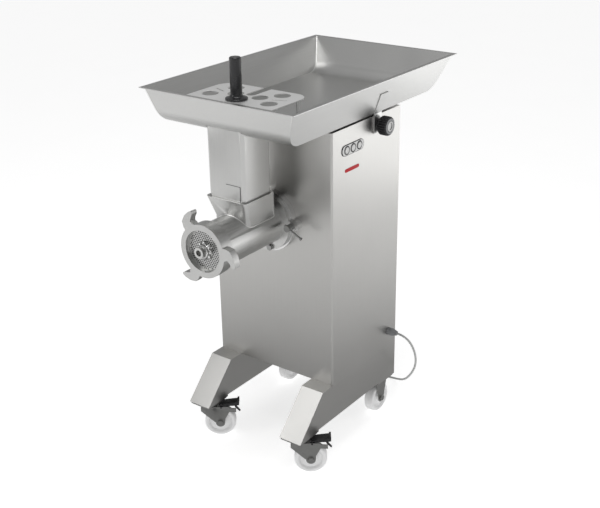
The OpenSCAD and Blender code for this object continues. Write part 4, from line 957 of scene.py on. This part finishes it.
class GRINDER_OT_controls(bpy.types.Operator):
    """Make the buttons, the lock knob and the plain colour bar, and finish the gland and the tab"""

    bl_idname = "grinder.controls"
    bl_label = "Controls"

    def execute(self, context):
        soften_nodes(["button_plate"], 0.0005, MATERIALS["light"])
        self.outline()
        for name in ("start_button", "stop_button", "reverse_button"):
            self.button(name)
        self.knob()
        soften_nodes(["knob_insert"], 0.0007, MATERIALS["screw"])
        soften_nodes(["cable_gland"], 0.0007, MATERIALS["grey"])
        soften_nodes(["lock_tab"], 0.0006, MATERIALS["tray"])
        self.badge()
        return {"FINISHED"}

    @staticmethod
    def outline(bead=0.0011):
        """Dark outline round the button plate: a stadium of two half circles."""
        low, high = box("button_plate")
        y0, z0 = (low[1:] + high[1:]) / 2
        half_l, half_h = (high[1:] - low[1:]) / 2
        a = np.linspace(-np.pi / 2, np.pi / 2, 20)
        mid = half_l - half_h
        right = np.stack([y0 + mid + half_h * np.cos(a), z0 + half_h * np.sin(a)], 1)
        left = np.stack([y0 - mid - half_h * np.cos(a[::-1]), z0 + half_h * np.sin(a[::-1])], 1)
        loop = np.vstack([right, left])
        path = np.stack([np.full(len(loop), low[0] + bead), loop[:, 0], loop[:, 1]], 1)
        edge = swept("plate_outline", path, bead, sides=8, closed=True)
        dress(edge, MATERIALS["outline"], "frame")

    @staticmethod
    def button(name, radius=0.010):
        """A push-button's bezel on the plate, and its dished cap with the flange behind the plate."""
        face = box("button_plate")[1][0]
        low, high = box(name)
        _, y, z = (low + high) / 2
        bezel = turned(name + "_bezel", rounded([
            (radius + 0.0005, -0.0006), (radius + 0.0032, -0.0006), (radius + 0.0032, 0.0008),
            (radius + 0.0018, 0.0016), (radius + 0.0005, 0.0010), (radius + 0.0005, -0.0006)],
            0.0004, 4), (face, y, z), (1, 0, 0), steps=48)
        dress(bezel, MATERIALS["outline"], "frame")
        depth = high[0] - low[0]
        cap = turned(name + "_cap", rounded([
            (0, 0), (0.012, 0), (0.012, 0.002), (radius, 0.0021), (radius, depth - 0.0012),
            (radius - 0.0015, depth), (radius * 0.5, depth - 0.0006), (0, depth - 0.0009)],
            0.0008, 4), (low[0], y, z), (1, 0, 0), steps=48)
        dress(cap, MATERIALS["light"], name, name)

    @staticmethod
    def knob():
        """The fluted lock knob and the plain ring in its face."""
        low, high = box("lock_knob")
        _, y, z = (low + high) / 2
        r = (high[2] - low[2]) / 2
        length = high[0] - low[0]
        profile = [
            (0.0052, 0, 0), (r * 0.62, 0, 0), (r * 0.62, 0.006, 0), (r * 0.7, 0.0075, 0.2),
            (r * 0.9, 0.0085, 0.6), (r * 0.97, 0.0105, 1), (r, 0.013, 1), (r, 0.018, 1),
            (r, length - 0.007, 1), (r * 0.985, length - 0.004, 1), (r * 0.93, length - 0.0016, 0.6),
            (r * 0.86, length - 0.0004, 0.2), (r * 0.78, length, 0), (r * 0.56, length - 0.001, 0),
            (r * 0.55, length - 0.0035, 0), (0.0052, length - 0.004, 0), (0.0052, 0, 0)]
        grip = turned("lock_knob_grip", profile, (low[0], y, z), (1, 0, 0),
                      steps=288, flute=0.0034, flutes=24, smooth_angle=50)
        dress(grip, MATERIALS["black"], "lock_knob", "lock_knob")
        ring = turned("lock_knob_ring", rounded([
            (r * 0.56, length - 0.003), (r * 0.78, length - 0.001), (r * 0.80, length + 0.0006),
            (r * 0.6, length + 0.0008), (r * 0.56, length - 0.0005), (r * 0.56, length - 0.003)],
            0.0005, 4), (low[0], y, z), (1, 0, 0), steps=64)
        dress(ring, MATERIALS["grey"], "lock_knob")

    @staticmethod
    def badge(half_length=0.036, half_height=0.0055, power=6.0):
        """Plain colour bar on the side panel, with a super-ellipse outline:
        |y / half_length|^power + |z / half_height|^power = 1."""
        plate = box("button_plate")[0]
        y0, z0 = plate[1] + 0.052, plate[2] - 0.046
        a = np.linspace(0, 2 * np.pi, 64, endpoint=False)
        scale = (np.abs(np.cos(a)) ** power + np.abs(np.sin(a)) ** power) ** (-1 / power)
        rim = np.stack([half_length * scale * np.cos(a), half_height * scale * np.sin(a)], 1)
        x0 = box("cabinet_shell")[1][0]
        layers = [(0, 1.0), (0.0005, 1.0), (0.0007, 0.97), (0.0007, 0.0)]
        points = np.array([[[x0 + h, y0 + y * k, z0 + z * k] for y, z in rim] for h, k in layers])
        sides = grid_faces(len(layers), len(rim), wrap_columns=True).tolist()
        bar = mesh_piece("plain_badge_bar", points.reshape(-1, 3), sides + [list(range(len(rim)))])
        dress(bar, MATERIALS["badge"], "frame")


# ---------------------------------------------------------------- cabinet

class GRINDER_OT_cabinet(bpy.types.Operator):
    """Break the edges of the cabinet and legs and add the rear louvres"""

    bl_idname = "grinder.cabinet"
    bl_label = "Cabinet and legs"

    def execute(self, context):
        soften_nodes(["left_leg", "right_leg"], 0.0016, MATERIALS["legs"])
        soften_nodes(["cabinet_shell"], 0.0006, MATERIALS["cabinet"])
        soften_nodes(["rear_cover"], 0.0005, MATERIALS["cabinet"])
        soften_nodes(["rear_screws"], 0.0006, MATERIALS["bright"])
        low, high = box("rear_cover")
        for group, start in (("low", low[2] + 0.060), ("high", high[2] - 0.200)):
            for i in range(8):
                self.hood("louvre_%s_%d" % (group, i), high[1], start + 0.016 * i)
        return {"FINISHED"}

    @staticmethod
    def hood(name, y, z):
        """Pressed hood over a slot: height above the panel h = H sin(pi v / 2) across and a half-cosine
        run-out at both ends; the lower lip stays open."""
        u = np.linspace(-1, 1, 25)
        v = np.linspace(0, 1, 9)
        ends = np.sqrt(np.maximum(0, 1 - np.abs(u) ** 8))
        rise = 0.0032 * np.sin(np.pi / 2 * v)[None, :] * ends[:, None]
        points = np.stack([np.broadcast_to((0.084 * u)[:, None], rise.shape), y + rise,
                           np.broadcast_to(z + 0.0055 - 0.009 * v, rise.shape)], -1)
        hood = mesh_piece(name, points.reshape(-1, 3), grid_faces(len(u), len(v)), smooth_angle=60)
        thick = hood.modifiers.new("sheet", "SOLIDIFY")
        thick.thickness = 0.0008
        thick.offset = 1.0
        dress(hood, MATERIALS["cabinet"], "frame")


# ---------------------------------------------------------------- castors

class GRINDER_OT_castors(bpy.types.Operator):
    """Turn the wheels and finish the forks, plates, bolts and brakes"""

    bl_idname = "grinder.castors"
    bl_label = "Castors"

    def execute(self, context):
        soften_nodes(["left_fork", "right_fork", "rear_forks"], 0.0007, MATERIALS["zinc"])
        soften_nodes(["castor_plates", "castor_bolts", "rear_axles"], 0.0005, MATERIALS["zinc"])
        soften_nodes(["left_brake", "right_brake"], 0.0011, MATERIALS["black"])
        spins = {joint["child"]: joint for joint in frame["joints"] if joint["name"].endswith("wheel_spin")}
        for name in ("left_wheel", "right_wheel", "rear_left_wheel", "rear_right_wheel"):
            centre, axis = np.array(spins[name]["pos_m"]), np.array(spins[name]["axis"])
            r, half, bore = 0.050, 0.016, 0.00605
            side = [(bore, -half - 0.0015), (0.0125, -half - 0.0015), (0.0160, -half + 0.0005),
                    (0.0185, -half + 0.0050), (0.0330, -half + 0.0058), (0.0372, -half + 0.0012),
                    (0.0400, -half), (0.0460, -half), (0.0488, -half + 0.0022), (r, -half + 0.0060)]
            profile = rounded(side + [(q, -d) for q, d in side[::-1]] + [side[0]], 0.0012, 4)
            wheel = turned(name + "_turned", profile, centre, axis, steps=96, smooth_angle=45)
            dress(wheel, MATERIALS["nylon"], name, name)
        return {"FINISHED"}


# ---------------------------------------------------------------- panel and registration

STEPS = ["stage", "finishes", "cord", "cabinet", "tray", "head", "feed", "controls", "castors"]


class GRINDER_PT_panel(bpy.types.Panel):
    """Steps that build the machine's looks"""

    bl_idname = "GRINDER_PT_panel"
    bl_label = "Meat Grinder"
    bl_space_type = "VIEW_3D"
    bl_region_type = "UI"
    bl_category = "Meat Grinder"

    def draw(self, context):
        for step in STEPS:
            self.layout.operator("grinder." + step)


CLASSES = (
    GrinderSizes, GrinderColours, GRINDER_OT_stage, GRINDER_OT_finishes, GRINDER_OT_cord,
    GRINDER_OT_cabinet, GRINDER_OT_tray, GRINDER_OT_head, GRINDER_OT_feed, GRINDER_OT_controls,
    GRINDER_OT_castors, GRINDER_PT_panel,
)


def register():
    for cls in CLASSES:
        bpy.utils.register_class(cls)
    bpy.types.Scene.grinder_sizes = bpy.props.PointerProperty(type=GrinderSizes)
    bpy.types.Scene.grinder_colours = bpy.props.PointerProperty(type=GrinderColours)


def unregister():
    del bpy.types.Scene.grinder_sizes
    del bpy.types.Scene.grinder_colours
    for cls in reversed(CLASSES):
        bpy.utils.unregister_class(cls)


def main():
    register()
    for step in STEPS:
        getattr(bpy.ops.grinder, step)()


if __name__ == "__main__":
    main()
